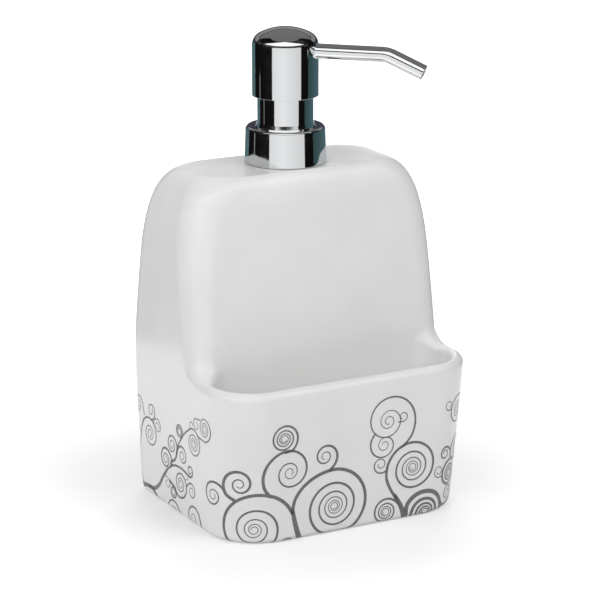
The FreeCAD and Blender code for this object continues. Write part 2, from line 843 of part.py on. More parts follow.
def spring_spot(turns, foot, rise):
    """A place on the spring's centre line and the direction of the wire there."""
    radius = cells.spring_diameter.value / 2
    end_pitch = cells.spring_end_pitch.value
    pitch = (rise - 2 * end_pitch) / (SPRING_COILS - 2)
    wound = min(max(turns, 0), SPRING_COILS)
    low = min(wound, 1)
    high = max(wound - SPRING_COILS + 1, 0)
    height = foot + (low + high) * end_pitch + (wound - low - high) * pitch
    slope = end_pitch if wound <= 1 or wound >= SPRING_COILS - 1 else pitch
    if wound in (1, SPRING_COILS - 1):
        slope = (end_pitch + pitch) / 2
    angle = 2 * math.pi * turns
    spot = Vector(radius * math.cos(angle), pump_axis.value + radius * math.sin(angle), height)
    run = 2 * math.pi * radius
    along = Vector(-run * math.sin(angle), run * math.cos(angle), slope).normalize()
    return spot, along


def arc_between(start, corner, end):
    """The arc that leaves start and reaches end along the two legs of a corner."""
    middle = (start + end) / 2
    half = (end - start).Length / 2
    lean = math.atan2((corner - middle).Length, half)
    crest = middle + (corner - middle).normalize() * (half * math.tan(lean / 2))
    return Part.Arc(start, crest, end)


def biarc(start, start_along, end, end_along):
    """Two arcs that meet smoothly, from one place and direction to another."""
    span = end - start
    both = start_along + end_along
    spread = 2 * (1 - start_along.dot(end_along))
    reach = span.dot(both)
    leg = (math.sqrt(reach ** 2 + spread * span.dot(span)) - reach) / spread
    first = start + start_along * leg
    second = end - end_along * leg
    joint = (first + second) / 2
    return [arc_between(start, first, joint), arc_between(joint, second, end)]


def least_self_gap(arcs, wire):
    """Least gap between parts of the wire that are more than half a turn apart."""
    spots = []
    for arc in arcs:
        start = arc.FirstParameter
        part = (arc.LastParameter - start) / SPOTS_PER_ARC
        spots += [arc.value(start + part * step) for step in range(SPOTS_PER_ARC)]
    apart = BIARCS_PER_TURN * SPOTS_PER_ARC
    return min(spots[low].distanceToPoint(spots[high])
               for low in range(len(spots)) for high in range(low + apart, len(spots))) - wire


def make_return_spring():
    """Coil spring between the ball cage and the stem's foot, with closer turns at its ends."""
    wire = cells.spring_wire.value
    foot = cage_top.value + cells.running_gap.value + wire / 2
    rise = stem_foot.value - cells.running_gap.value - wire / 2 - foot
    stops = [spring_spot(stop / BIARCS_PER_TURN, foot, rise)
             for stop in range(SPRING_COILS * BIARCS_PER_TURN + 1)]
    arcs = []
    for (start, start_along), (end, end_along) in zip(stops, stops[1:]):
        arcs += biarc(start, start_along, end, end_along)
    print("return_spring least self-gap", round(least_self_gap(arcs, wire), 2), "mm")
    path = Part.Wire([arc.toShape() for arc in arcs])
    ring = Part.Wire(Part.Circle(stops[0][0], stops[0][1], wire / 2).toShape())
    spring = doc.addObject("Part::Feature", "return_spring")
    spring.Label = "return_spring"
    spring.Shape = path.makePipeShell([ring], True, False)
    return spring


head = cells.head_diameter / 2
core = head - cells.head_wall - cells.core_gap
tube_outer = cells.spout_diameter / 2
liner_outer = tube_outer - cells.spout_wall - cells.snug_gap
liner_bore = liner_outer - cells.liner_wall


def dome_shoulder(across, inset):
    """Height where the head's dome, drawn in by an inset, meets a wall at a radius."""
    rise = cells.dome_rise
    ball = (head * head + rise * rise) / (rise * 2)
    drawn = ball - inset
    return head_top - ball + square_root(drawn * drawn - across * across)


def make_actuator_core():
    """Plastic core of the head: stem socket, outlet valve chamber and seat for the spout."""
    socket_bore = stem + cells.snug_gap
    outside = socket_bore + cells.core_socket_wall
    core_socket_foot = stem_top - cells.socket_length
    chamber_bore = cells.outlet_chamber_bore / 2
    chamber_top = stem_top + cells.outlet_chamber_height
    inset = cells.head_wall + cells.dome_gap
    shoulder = dome_shoulder(core, inset)
    body = turned("actuator_core", [
        (chamber_bore, stem_top), (socket_bore, stem_top), (socket_bore, core_socket_foot),
        (outside, core_socket_foot), (outside, core_floor), (core, core_floor),
        (core, shoulder, "arc"), (ZERO, head_top - inset), (ZERO, chamber_top), (chamber_bore, chamber_top)],
        "Sizes.spout_turn_degrees")
    fillet(body, "core_edge", cells.core_edge_round, lambda edge: level_ring(edge, shoulder, core))
    cut_slot(body, chamber_top)
    way = circle_sketch(body, "YZ_Plane", "outlet_way_circle", ZERO, spout_height, liner_bore * 2)
    cut_through(body, way, "outlet_way", cells.spout_root + cells.spout_wall, reverse=True)
    seat = circle_sketch(body, "YZ_Plane", "spout_seat_circle", ZERO, spout_height,
                         (tube_outer + cells.snug_gap) * 2, cells.spout_root)
    cut_through(body, seat, "spout_seat", reverse=True)
    return body


def cut_slot(body, chamber_top):
    """Slot over the outlet chamber, too narrow for the ball, up to the spout's way."""
    half_width = cells.outlet_slot_width / 2
    half_length = cells.outlet_slot_length / 2
    slot = plane_sketch(body, "XY_Plane", "outlet_slot_outline", chamber_top)
    outline(slot, [(-half_width, -half_length), (half_width, -half_length),
                   (half_width, half_length), (-half_width, half_length)])
    cut_through(body, slot, "outlet_slot", spout_height - chamber_top, reverse=True)


def make_head_shell():
    """Domed chrome shell of the head, with the hole for the spout."""
    wall = cells.head_wall
    inside = head - wall
    shoulder = dome_shoulder(inside, wall)
    body = turned("head_shell", [
        (inside, head_foot), (head, head_foot), (head, head_shoulder, "arc"), (ZERO, head_top),
        (ZERO, head_top - wall, "arc"), (inside, shoulder)], "Sizes.spout_turn_degrees")
    round_over = cells.head_edge_round
    fillet(body, "head_edge", round_over, lambda edge: level_ring(edge, head_shoulder, head))
    fillet(body, "head_inner_edge", round_over - wall, lambda edge: level_ring(edge, shoulder, inside))
    hole = circle_sketch(body, "YZ_Plane", "spout_hole_circle", ZERO, spout_height,
                         (tube_outer + cells.snug_gap) * 2)
    cut_through(body, hole, "spout_hole", reverse=True)
    return body


def bent_tube(name, outer, inner, tip):
    """Round tube from the head's core along the spout's bent line."""
    body = new_body(name)
    on_pump_axis(body, "Sizes.spout_turn_degrees")
    ring = plane_sketch(body, "YZ_Plane", f"{name}_ring", cells.spout_root)
    for index, radius in enumerate((outer, inner)):
        ring.addGeometry(Part.Circle(Vector(0, spout_height.value, 0), Vector(0, 0, 1), radius.value))
        pin_point(ring, index, 3, ZERO, spout_height)
        bind(ring, Sketcher.Constraint("Radius", index, radius.value), radius)
    line = plane_sketch(body, "XZ_Plane", f"{name}_line")
    drop = math.radians(ANGLES["spout_tip_degrees"])
    bend = cells.spout_bend
    centre = Vector(cells.spout_run.value, (spout_height - bend).value, 0)
    arc = Part.ArcOfCircle(Part.Circle(centre, Vector(0, 0, 1), bend.value), math.pi / 2 - drop, math.pi / 2)
    end = arc.StartPoint + Vector(math.cos(drop), -math.sin(drop), 0) * tip.value
    line.addGeometry(Part.LineSegment(Vector(cells.spout_root.value, spout_height.value, 0), arc.EndPoint))
    line.addGeometry(arc)
    line.addGeometry(Part.LineSegment(arc.StartPoint, end))
    pin_point(line, 0, 1, cells.spout_root, spout_height)
    pin_point(line, 0, 2, cells.spout_run, spout_height)
    line.addConstraint(Sketcher.Constraint("Tangent", 0, 2, 1, 2))
    line.addConstraint(Sketcher.Constraint("Tangent", 1, 1, 2, 1))
    bind(line, Sketcher.Constraint("Radius", 1, bend.value), bend)
    bind(line, Sketcher.Constraint("Distance", 2, tip.value), tip)
    bind(line, Sketcher.Constraint("Angle", 2, -drop), -cells.spout_tip_degrees)
    doc.recompute()
    pipe = body.newObject("PartDesign::AdditivePipe", f"{name}_pipe")
    pipe.Profile = ring
    pipe.Spine = (line, ["Edge1", "Edge2", "Edge3"])
    doc.recompute()
    return body


def make_spout_tube():
    return bent_tube("spout_tube", tube_outer, tube_outer - cells.spout_wall, cells.spout_tip)


def make_spout_liner():
    return bent_tube("spout_liner", liner_outer, liner_bore, cells.spout_tip - cells.liner_inset)


def check_model():
    """Stop on any object in error or with a bad shape."""
    for item in doc.Objects:
        assert not {"Invalid", "Error"} & set(item.State), f"{item.Label} is in error"
        if hasattr(item, "Shape") and item.TypeId.startswith(("PartDesign", "Part::")):
            assert not item.Shape.isNull(), f"{item.Label} has no shape"
            assert item.Shape.isValid(), f"{item.Label} has a bad shape"


def export(pieces):
    os.makedirs("parts", exist_ok=True)
    for piece in pieces:
        assert len(piece.Shape.Solids) == 1, f"{piece.Label} isn't one solid"
        piece.Shape.exportStep(f"parts/{piece.Label}.step")


pieces = [
    make_ceramic_body(), make_neck_insert(), make_neck_gasket(), make_pump_cylinder(), make_dip_tube(),
    make_ball_cage(), make_inlet_ball(), make_return_spring(), make_piston_stem(), make_piston_seal(),
    make_stem_guide(), make_stem_wiper(), make_closure_cap(), make_collar_shell(), make_guide_sleeve(),
    make_outlet_ball(), make_actuator_core(), make_head_shell(), make_spout_tube(), make_spout_liner(),
]
doc.recompute()
check_model()
export(pieces)
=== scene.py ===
import bpy
import json
import math
import numpy as np
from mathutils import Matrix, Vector


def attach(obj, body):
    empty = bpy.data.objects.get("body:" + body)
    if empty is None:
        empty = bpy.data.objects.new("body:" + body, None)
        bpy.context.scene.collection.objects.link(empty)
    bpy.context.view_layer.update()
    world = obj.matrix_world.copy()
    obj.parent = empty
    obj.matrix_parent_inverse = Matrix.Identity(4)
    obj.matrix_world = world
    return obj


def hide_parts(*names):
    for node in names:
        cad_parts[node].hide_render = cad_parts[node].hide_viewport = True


# Countertop soap dispenser with a sponge pocket and a chrome lotion pump.
# Sizes are in millimetres and become metres where meshes are made. The floor and the lamps are in
# metres.

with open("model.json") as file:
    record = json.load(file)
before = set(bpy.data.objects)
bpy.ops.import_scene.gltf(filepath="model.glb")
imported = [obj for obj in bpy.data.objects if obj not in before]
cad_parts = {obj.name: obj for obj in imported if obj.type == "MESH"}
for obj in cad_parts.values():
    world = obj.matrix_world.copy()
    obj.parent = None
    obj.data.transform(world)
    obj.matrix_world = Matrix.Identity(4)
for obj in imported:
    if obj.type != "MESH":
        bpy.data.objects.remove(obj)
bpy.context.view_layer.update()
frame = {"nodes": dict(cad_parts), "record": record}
MM = 0.001

# The photograph's camera
CAMERA_TURN = math.radians(-28.46)
CAMERA_TILT = math.radians(15.76)
CAMERA_DISTANCE = 999.9
CAMERA_LENS = 155.23
AIM_Y = -5.3
AIM_HEIGHT = 82.0
AIM_SHIFT = -3.23

# Ceramic body
RIM_HEIGHT = 60.5
LAND_HEIGHT = 133.4
RIM_HALF_WIDTH = 55.4
BASE_HALF_WIDTH = 52.2
HALF_DEPTH = 44.9
BASE_FRONT_INSET = 3.2
FRONT_CORNER = 21.4
FRONT_CORNER_LOSS = 2.6
BACK_CORNER = 10.4
BASE_ROUND = 2.2
LIP_ROUND = 3.0
LIP_INSIDE_ROUND = 2.0
RIM_WALL = 4.5
POCKET_FLOOR = 17.0
POCKET_FLOOR_ROUND = 3.0
POCKET_FRONT_CORNER = 14.6
POCKET_REAR_CORNER = 4.4
POCKET_OVERRUN = 10.0
POCKET_TOWER_ROUND = 10.0
TOWER_FRONT = -16.9
TOWER_FRONT_LEAN = 9.2
TOWER_BACK_LEAN = 10.7
TOWER_FOOT_LEAN = 2.4
TOWER_SIDE_LEAN = 2.15
TOWER_TOP_CORNER = 13.2
TOWER_FOOT_CORNER = 8.8
SHOULDER_HEIGHT = 38.1
SHOULDER_INSET = 16.6
SHOULDER_POWER = 2.56
CROWN_HEIGHT = 13.0
CROWN_INSET = 4.2
FLARE = 7.0
KINK_ROUND = 1.4
RESERVOIR_WALL = 4.5
RESERVOIR_FLOOR = 6.5
CROWN_WALL = 6.0
NECK_RADIUS = 12.6
FOOT_RING = 7.0
FOOT_RECESS = 1.5
PUMP_Y = 13.3
GRID_STEP = 0.8
GRID_MARGIN = 2.0
# Settling of places onto the surface: its rounds, the nudge that measures the slope, and the least
# squared slope and the least step that it divides by
SETTLING = 4
NUDGE = 0.01
LEAST_STEEPNESS = 0.04
LEAST_STEP = 1e-9

# Chrome pieces
COLLAR_FOOT = 133.65
COLLAR_TOP = 147.65
COLLAR_RADIUS = 16.0
COLLAR_TOP_RADIUS = 15.53
COLLAR_WALL = 0.55
COLLAR_HOLE = 11.55
COLLAR_EDGE = 1.1
SLEEVE_FOOT = 146.45
SLEEVE_FLANGE = 0.5
SLEEVE_FLANGE_RADIUS = 12.6
SLEEVE_STEP = 149.2
SLEEVE_STEP_RADIUS = 11.35
SLEEVE_TOP = 162.25
SLEEVE_RADIUS = 10.95
SLEEVE_WALL = 0.45
HEAD_FOOT = 159.45
HEAD_TOP = 185.9
HEAD_RADIUS = 12.95
HEAD_WALL = 0.5
HEAD_EDGE = 5.2
DOME_RISE = 4.1
SPOUT_HEIGHT = 177.05
SPOUT_RADIUS = 3.0
SPOUT_WALL = 0.4
SPOUT_ROOT = 4.5
SPOUT_RUN = 38.4
SPOUT_BEND = 10.0
SPOUT_TIP = 13.4
SPOUT_TURN = math.radians(-45.0)
SPOUT_DROP = math.radians(23.5)
EDGE_SOFTNESS = 0.13
EDGE_HOLD = 0.2
ARC_STEPS = 6
DOME_STEPS = 24
AROUND = 128
RING_ANGLES = np.arange(AROUND) * 2 * math.pi / AROUND

# Scroll print on the wall, laid out flat: millimetres along the foot from the middle of the front,
# positive to its right, and up. A stem has its spots and its first and last widths. A curl has
# the spots that lead into it, its middle, its way round as seen from outside, how much of its radius
# is left after a turn, and its line's width.
LEFTWARDS, RIGHTWARDS = 1, -1
PRINT_STEP = 0.5
PRINT_HEIGHT = 0.035
PRINT_LOWEST = -1.0
PRINT_SETTLING = 8
LEAST_LINE = 0.35
LINE_FADE = 0.8
CURL_INSIDE = 1.1
SPOTS_A_TURN = 12
BACK_SHIFT = 185.0
FRONT_STEMS = (
    (((-23, -2), (-25.5, 6), (-27, 12.5)), 2.4, 1.6),
    (((23, -2), (20.5, 6), (17.5, 11)), 2.4, 1.5),
)
FRONT_CURLS = (
    (((-27, 11), (-26.2, 16), (-23.7, 20), (-20, 23), (-15, 25.2)), (-8.8, 11), RIGHTWARDS, 0.63, 1.4),
    (((-26.8, 11), (-29, 14.5)), (-42.2, 6.2), LEFTWARDS, 0.55, 1.4),
    (((-36, 19), (-38.6, 22.5), (-39.4, 26.5)), (-28.5, 28), RIGHTWARDS, 0.43, 1.2),
    (((-11.5, 25.8), (-9, 28.5)), (-13.5, 32), LEFTWARDS, 0.42, 1.1),
    (((-31, 36.2), (-27.5, 37)), (-31.2, 41.8), LEFTWARDS, 0.66, 0.9),
    (((-26.5, -1),), (-29, -1), LEFTWARDS, 0.6, 0.8),
    (((18.5, 9.2), (16, 13)), (25.3, 21), RIGHTWARDS, 0.63, 1.2),
    (((20, 30), (24, 34)), (13.8, 41.8), LEFTWARDS, 0.44, 0.9),
    (((18, 40.8), (19.5, 40.7)), (20.2, 42.8), LEFTWARDS, 0.5, 0.5),
    (((8.2, 37.8),), (12.3, 32.3), LEFTWARDS, 0.42, 0.8),
    (((13.6, 21.6),), (11, 24.5), RIGHTWARDS, 0.42, 0.7),
    (((20, 6.5), (17.5, 8.7)), (13.8, 4.5), LEFTWARDS, 0.64, 0.9),
    (((22.9, -1.5), (24, 6.5)), (31.8, 1.2), RIGHTWARDS, 0.65, 1.9),
)
CORNER_STEMS = (
    (((39.3, 4.5), (41, 2), (46, 2.5), (51, 8), (52, 16), (51.5, 20.5)), 1.4, 1.2),
)
CORNER_CURLS = (
    (((-49.5, 17.5), (-54, 20.5)), (-48.2, 24.5), RIGHTWARDS, 0.4, 1.4),
    (((-53.5, 20.5), (-56.5, 22.9)), (-60, 17.9), LEFTWARDS, 0.43, 1.1),
    (((51.5, 20.5), (48, 19.6)), (45, 14.5), LEFTWARDS, 0.62, 1.3),
    (((48, 19.5), (45.5, 21)), (51, 24), RIGHTWARDS, 0.5, 1.2),
    (((44.8, 24), (42.5, 26)), (41, 23.6), LEFTWARDS, 0.5, 0.9),
    (((39.6, 14.8),), (37.8, 17), RIGHTWARDS, 0.5, 0.5),
    (((48.5, 4.5), (47, 8.2)), (44.6, 6), LEFTWARDS, 0.5, 0.7),
    (((52.3, 18), (57, 28), (56, 41), (51, 46)), (48.5, 40), LEFTWARDS, 0.55, 0.8),
    (((43.3, 42),), (41.6, 43.6), RIGHTWARDS, 0.5, 0.5),
)
SIDE_STEMS = (
    (((-122, 2.5), (-116, 3.5), (-111, 4), (-106.5, 7), (-102.5, 12), (-98.5, 16.5)), 1.9, 1.4),
    (((-116, 3.6), (-112, 3.2), (-109, 1.5), (-107, -1.5)), 1.5, 1.2),
    (((-95.5, 18.4), (-94.8, 21), (-92.5, 22), (-90.5, 24.5), (-90, 27), (-88.6, 30)), 1.3, 1.0),
    (((-121, 2.8), (-123.5, 8), (-124.5, 15), (-123, 22), (-121.5, 28)), 0.9, 0.7),
)
SIDE_CURLS = (
    (((-98.5, 16.5), (-93, 19.8), (-86.5, 20.6), (-80, 19.6)), (-78.6, 22), LEFTWARDS, 0.5, 1.0),
    (((-83, 20.2),), (-82, 18.4), RIGHTWARDS, 0.4, 0.5),
    (((-97, 12.3), (-94.5, 11), (-91.5, 9.3)), (-87, 13.8), LEFTWARDS, 0.55, 1.0),
    (((-81.8, 14.2), (-80.3, 15.8)), (-77.3, 13.5), RIGHTWARDS, 0.45, 0.8),
    (((-96.8, 12), (-94, 11.3)), (-93.6, 8.2), RIGHTWARDS, 0.6, 0.9),
    (((-101.5, 13), (-99, 12.8)), (-98.6, 10.4), RIGHTWARDS, 0.5, 0.5),
    (((-94.5, 18.8), (-94.8, 21.5)), (-100, 20.4), LEFTWARDS, 0.5, 1.1),
    (((-88.6, 30), (-84, 35.5), (-80, 38.6)), (-75.2, 34.4), RIGHTWARDS, 0.6, 0.8),
    (((-72, 38.6), (-68, 38.3)), (-66, 43.3), LEFTWARDS, 0.6, 0.7),
    (((-69.5, 46), (-72, 45.6)), (-73, 43), LEFTWARDS, 0.45, 0.6),
    (((-75.5, 42),), (-77.3, 41.2), LEFTWARDS, 0.45, 0.5),
    (((-86.5, 32.5), (-84.8, 35)), (-87.7, 35.8), LEFTWARDS, 0.7, 0.7),
    (((-90.8, 24.3),), (-94.3, 28), LEFTWARDS, 0.5, 1.0),
    (((-89.8, 27), (-88.3, 29)), (-85.2, 26), RIGHTWARDS, 0.45, 0.9),
    (((-121.5, 28),), (-114, 26.8), RIGHTWARDS, 0.5, 0.9),
    (((-112.8, 33),), (-112.8, 37), LEFTWARDS, 0.42, 0.9),
    (((-110.6, 31.3),), (-107, 32), RIGHTWARDS, 0.5, 0.6),
    (((-87.5, -1.5),), (-94, -1), LEFTWARDS, 0.5, 0.9),
    (((-69, -1.5), (-70.3, 4)), (-76.3, 2.8), LEFTWARDS, 0.35, 1.0),
    (((-119, 33.2), (-120, 36)), (-124.5, 36.5), LEFTWARDS, 0.5, 0.6),
)

# Materials, in linear colours, where a single number is a grey. Where a colour or roughness varies,
# its two ends follow it: they lie at the ends of the noise's span. A grain or ripple is the scale of
# its noise, and a depth is in metres.
NOISE_DETAIL = 3.0
NOISE_SPAN = (0.35, 0.65)
GLAZE_COLOUR = (0.76, 0.76, 0.755)
GLAZE_COLOURS = ((0.75, 0.75, 0.745), (0.77, 0.77, 0.765))
GLAZE_ROUGHNESS = 0.2
GLAZE_ROUGHNESSES = (0.16, 0.24)
GLAZE_GRAIN = 60.0
GLAZE_RIPPLE = 90.0
RIPPLE_DETAIL = 1.0
RIPPLE_STRENGTH = 0.1
RIPPLE_DEPTH = 0.0002
PRINT_COLOUR = (0.12, 0.125, 0.13)
PRINT_COLOURS = ((0.10, 0.105, 0.11), (0.15, 0.155, 0.16))
PRINT_ROUGHNESS = 0.3
PRINT_GRAIN = 900.0
CHROME_COLOUR = (0.80, 0.81, 0.82)
CHROME_ROUGHNESS = 0.06
CHROME_ROUGHNESSES = (0.05, 0.09)
CHROME_GRAIN = 250.0
WHITE_PLASTIC_COLOUR = (0.78, 0.78, 0.76)
WHITE_PLASTIC_ROUGHNESS = 0.38
CLEAR_PLASTIC_COLOUR = (0.74, 0.76, 0.76)
CLEAR_PLASTIC_ROUGHNESS = 0.25
RUBBER_COLOUR = 0.03
RUBBER_ROUGHNESS = 0.6
PLASTIC_SPREAD = 0.15
PLASTIC_GRAIN = 700.0
PLASTIC_BUMP = 0.08
PLASTIC_DEPTH = 0.0001
STEEL_COLOUR = 0.62
STEEL_ROUGHNESS = 0.25
STEEL_ROUGHNESSES = (0.2, 0.3)
STEEL_GRAIN = 500.0

# Studio cards, which only shiny surfaces see. Each has its name, its distance from the pump's axis,
# and for its two upright ends the degrees from the camera's side, the heights and the colour.
BLACK = 0.005
DARK_TEAL = (0.035, 0.075, 0.075)
PALE_TEAL = (0.09, 0.16, 0.18)
SOFTBOX = 1.25
CARD_PARTS = 16
CARDS = (
    ("card_front", 255, (-123, 0, 650, BLACK), (84, 0, 650, BLACK)),
    ("card_streak", 250, (-96, 0, 125, 0.3), (-93, 0, 125, 0.3)),
    ("card_panel_left_edge", 250, (-44, 0, 200, 0.88), (-38, 0, 218, 0.87)),
    ("card_panel_left", 250, (-38, 0, 218, 0.87), (-8, 0, 218, 0.96)),
    ("card_panel_right", 250, (-8, 0, 218, 0.96), (48, 0, 218, 0.77)),
    ("card_panel_right_edge", 250, (48, 0, 218, 0.77), (54, 0, 200, 0.8)),
    ("card_softbox_left", 250, (-80, 289, 290, SOFTBOX), (-2, 290, 650, SOFTBOX)),
    ("card_softbox_right", 250, (-2, 290, 650, SOFTBOX), (70, 289, 290, SOFTBOX)),
    ("card_right_dark", 249, (84, 190, 650, BLACK), (118, 190, 650, BLACK)),
    ("card_right_teal", 250, (84, 0, 190, DARK_TEAL), (160, 0, 190, PALE_TEAL)),
    ("card_left_teal", 250, (-160, 0, 190, PALE_TEAL), (-123, 0, 190, PALE_TEAL)),
    ("card_back_dark", 250, (84, 190, 235, (0.03, 0.03, 0.05)), (237, 190, 235, (0.03, 0.03, 0.05))),
    ("card_back", 250, (84, 235, 325, 0.24), (237, 235, 325, 0.24)),
    ("card_line", 250, (84, 325, 340, BLACK), (237, 325, 340, BLACK)),
)
# Slats in the dark band over the panels, by the heights of their inner edges. From the pump in its
# seat only their black undersides show, and from the lifted pump their pale tops.
SLAT_INSIDES = (222, 232, 243, 255, 268)
SLAT_EYE = 190
SLAT_START, SLAT_END = -123, 84
SLAT_RADII = (200, 250)
SLAT_THICKNESS = 0.5
SLAT_GREY = 0.85
CEILING_SIZE = 2500
CEILING_HEIGHT = 705
CEILING_GREY = 0.17

# Floor, with distances from its middle and how far it is lifted to white there. The lift is least near the
# middle, which paints shade round the object.
FLOOR_SIZE = 3.0
FLOOR_COLOUR = 0.68
FLOOR_ROUGHNESS = 0.6
FLOOR_LIFTS = ((0.05, 0.3), (0.16, 0.56), (0.9, 1.0))

# Room light and square lamps, each by name, degrees from the camera's side, degrees up and watts
ROOM_LIGHT = 0.2
LAMP_DISTANCE = 1.6
LAMP_SIZE = 1.0
LAMP_AIM = 0.08
LAMPS = (
    ("front_lamp", 0, 28, 3.1),
    ("key_lamp", -35, 30, 8.0),
    ("left_lamp", -60, 15, 4.8),
    ("right_lamp", 60, 45, 12.6),
    ("back_left_lamp", -110, 30, 3.4),
    ("back_lamp", 180, 35, 9.6),
)


def rounded_join(first, second, size):
    """What two solids share, with its outer edge rounded. Inside is negative."""
    over = np.maximum(first + size, 0)
    past = np.maximum(second + size, 0)
    return np.minimum(np.maximum(first, second), -size) + np.hypot(over, past)


def softer_least(first, second):
    """The lesser of two values, with the change between them rounded."""
    return (first + second - np.sqrt((first - second) ** 2 + KINK_ROUND ** 2)) / 2


def plan_distance(x, y, half_width, front, back, front_round, back_round):
    """Distance in plan to a rectangle with rounded corners."""
    middle = (front + back) / 2
    corner = np.where(y < middle, front_round, back_round)
    across = np.abs(x) - half_width + corner
    along = np.abs(y - middle) - (back - front) / 2 + corner
    outside = np.hypot(np.maximum(across, 0), np.maximum(along, 0))
    return np.minimum(np.maximum(across, along), 0) + outside - corner


def tower_share(z):
    """How far up the tower a height is: none at the rim and one at the land under the collar."""
    return (z - RIM_HEIGHT) / (LAND_HEIGHT - RIM_HEIGHT)


def side_half_width(z):
    """Half width of the outside: out from the base to the rim, then in up the tower."""
    lower = BASE_HALF_WIDTH + (RIM_HALF_WIDTH - BASE_HALF_WIDTH) * z / RIM_HEIGHT
    return softer_least(lower, RIM_HALF_WIDTH - TOWER_SIDE_LEAN * tower_share(z))


def tower_front(z):
    """The tower's front, which leans back above the rim and forward in the pocket."""
    lower = TOWER_FRONT - TOWER_FOOT_LEAN * (1 - z / RIM_HEIGHT)
    return -softer_least(-lower, -(TOWER_FRONT + TOWER_FRONT_LEAN * tower_share(z)))


def tower_back(z):
    """The back, upright to the rim and leaning forward above it."""
    return softer_least(HALF_DEPTH + 0 * z, HALF_DEPTH - TOWER_BACK_LEAN * tower_share(z))


def block_front(z):
    """The block's front, drawn in towards the base."""
    return -HALF_DEPTH + BASE_FRONT_INSET * (1 - z / RIM_HEIGHT)


def shoulder_inset(z):
    """How far the shoulders draw the tower's sides in."""
    rise = np.clip((z - LAND_HEIGHT + SHOULDER_HEIGHT) / SHOULDER_HEIGHT, 0, 1)
    return SHOULDER_INSET * (1 - (1 - rise ** SHOULDER_POWER) ** (1 / SHOULDER_POWER))


def crown_inset(z):
    """How far the crown draws the tower's front and back in."""
    rise = np.clip((z - LAND_HEIGHT + CROWN_HEIGHT) / CROWN_HEIGHT, 0, 1)
    return CROWN_INSET * (1 - np.sqrt(1 - rise ** 2))


def tower_side(x, y, z, wall=0.0):
    """The tower's outside in plan, or a wall's thickness in from it."""
    draw = crown_inset(z) + wall
    corner = TOWER_FOOT_CORNER + (TOWER_TOP_CORNER - TOWER_FOOT_CORNER) * np.clip(tower_share(z), 0, 1)
    return plan_distance(x, y, side_half_width(z) - shoulder_inset(z) - wall, tower_front(z) + draw,
                         tower_back(z) - draw, corner - wall, BACK_CORNER - wall)


def block_field(x, y, z):
    """The block's outside with its lip, which climbs the tower's corners in a fillet."""
    low = np.minimum(z, RIM_HEIGHT)
    corner = FRONT_CORNER - FRONT_CORNER_LOSS * low / RIM_HEIGHT
    outer = plan_distance(x, y, side_half_width(z), block_front(low), tower_back(z), corner, BACK_CORNER)
    crest = FLARE - np.hypot(np.maximum(FLARE - tower_side(x, y, z), 0),
                             np.maximum(RIM_HEIGHT + FLARE - z, 0))
    return np.maximum(rounded_join(outer, crest, LIP_ROUND), z - RIM_HEIGHT - FLARE)


def pocket_field(x, y, z, tower):
    """The sponge pocket's room, up to the tower's front."""
    low = np.minimum(z, RIM_HEIGHT)
    room = plan_distance(x, y, side_half_width(low) - RIM_WALL, block_front(low) + RIM_WALL,
                         tower_front(z) + POCKET_OVERRUN, POCKET_FRONT_CORNER, POCKET_REAR_CORNER)
    room = rounded_join(room, -tower, POCKET_TOWER_ROUND)
    return rounded_join(room, POCKET_FLOOR - z, POCKET_FLOOR_ROUND)


def ceramic_field(x, y, z):
    """Negative inside the ceramic, zero on its surface and about a distance near it."""
    tower = np.maximum(tower_side(x, y, z), z - LAND_HEIGHT)
    block = rounded_join(block_field(x, y, z), -pocket_field(x, y, z, tower), LIP_INSIDE_ROUND)
    solid = rounded_join(np.minimum(block, tower), -z, BASE_ROUND)
    room = np.maximum(tower_side(x, y, z, RESERVOIR_WALL), RESERVOIR_FLOOR - z)
    room = np.maximum(room, z - LAND_HEIGHT + CROWN_WALL)
    neck = np.maximum(np.hypot(x, y - PUMP_Y) - NECK_RADIUS, LAND_HEIGHT - 2 * CROWN_WALL - z)
    recess = plan_distance(x, y, BASE_HALF_WIDTH - FOOT_RING, block_front(0) + FOOT_RING,
                           HALF_DEPTH - FOOT_RING, FRONT_CORNER - FOOT_RING, BACK_CORNER - FOOT_RING)
    recess = np.maximum(recess, z - FOOT_RECESS)
    return np.maximum.reduce([solid, -room, -neck, -recess])


def field_slope(spots):
    """The field and its slope at some places."""
    slope = [ceramic_field(*(spots + nudge).T) - ceramic_field(*(spots - nudge).T)
             for nudge in np.eye(3) * NUDGE]
    return ceramic_field(*spots.T), np.stack(slope, axis=1) / (2 * NUDGE)


def settle(spots, height=0.0, rounds=SETTLING):
    """Moves places along the slope onto the surface, or to a height over it."""
    for _ in range(rounds):
        here, slope = field_slope(spots)
        steep = np.maximum((slope ** 2).sum(axis=1), LEAST_STEEPNESS)
        step = ((here - height) / steep)[:, None] * slope
        length = np.maximum(np.linalg.norm(step, axis=1, keepdims=True), LEAST_STEP)
        spots = spots - step * np.minimum(1, GRID_STEP / 2 / length)
    return spots


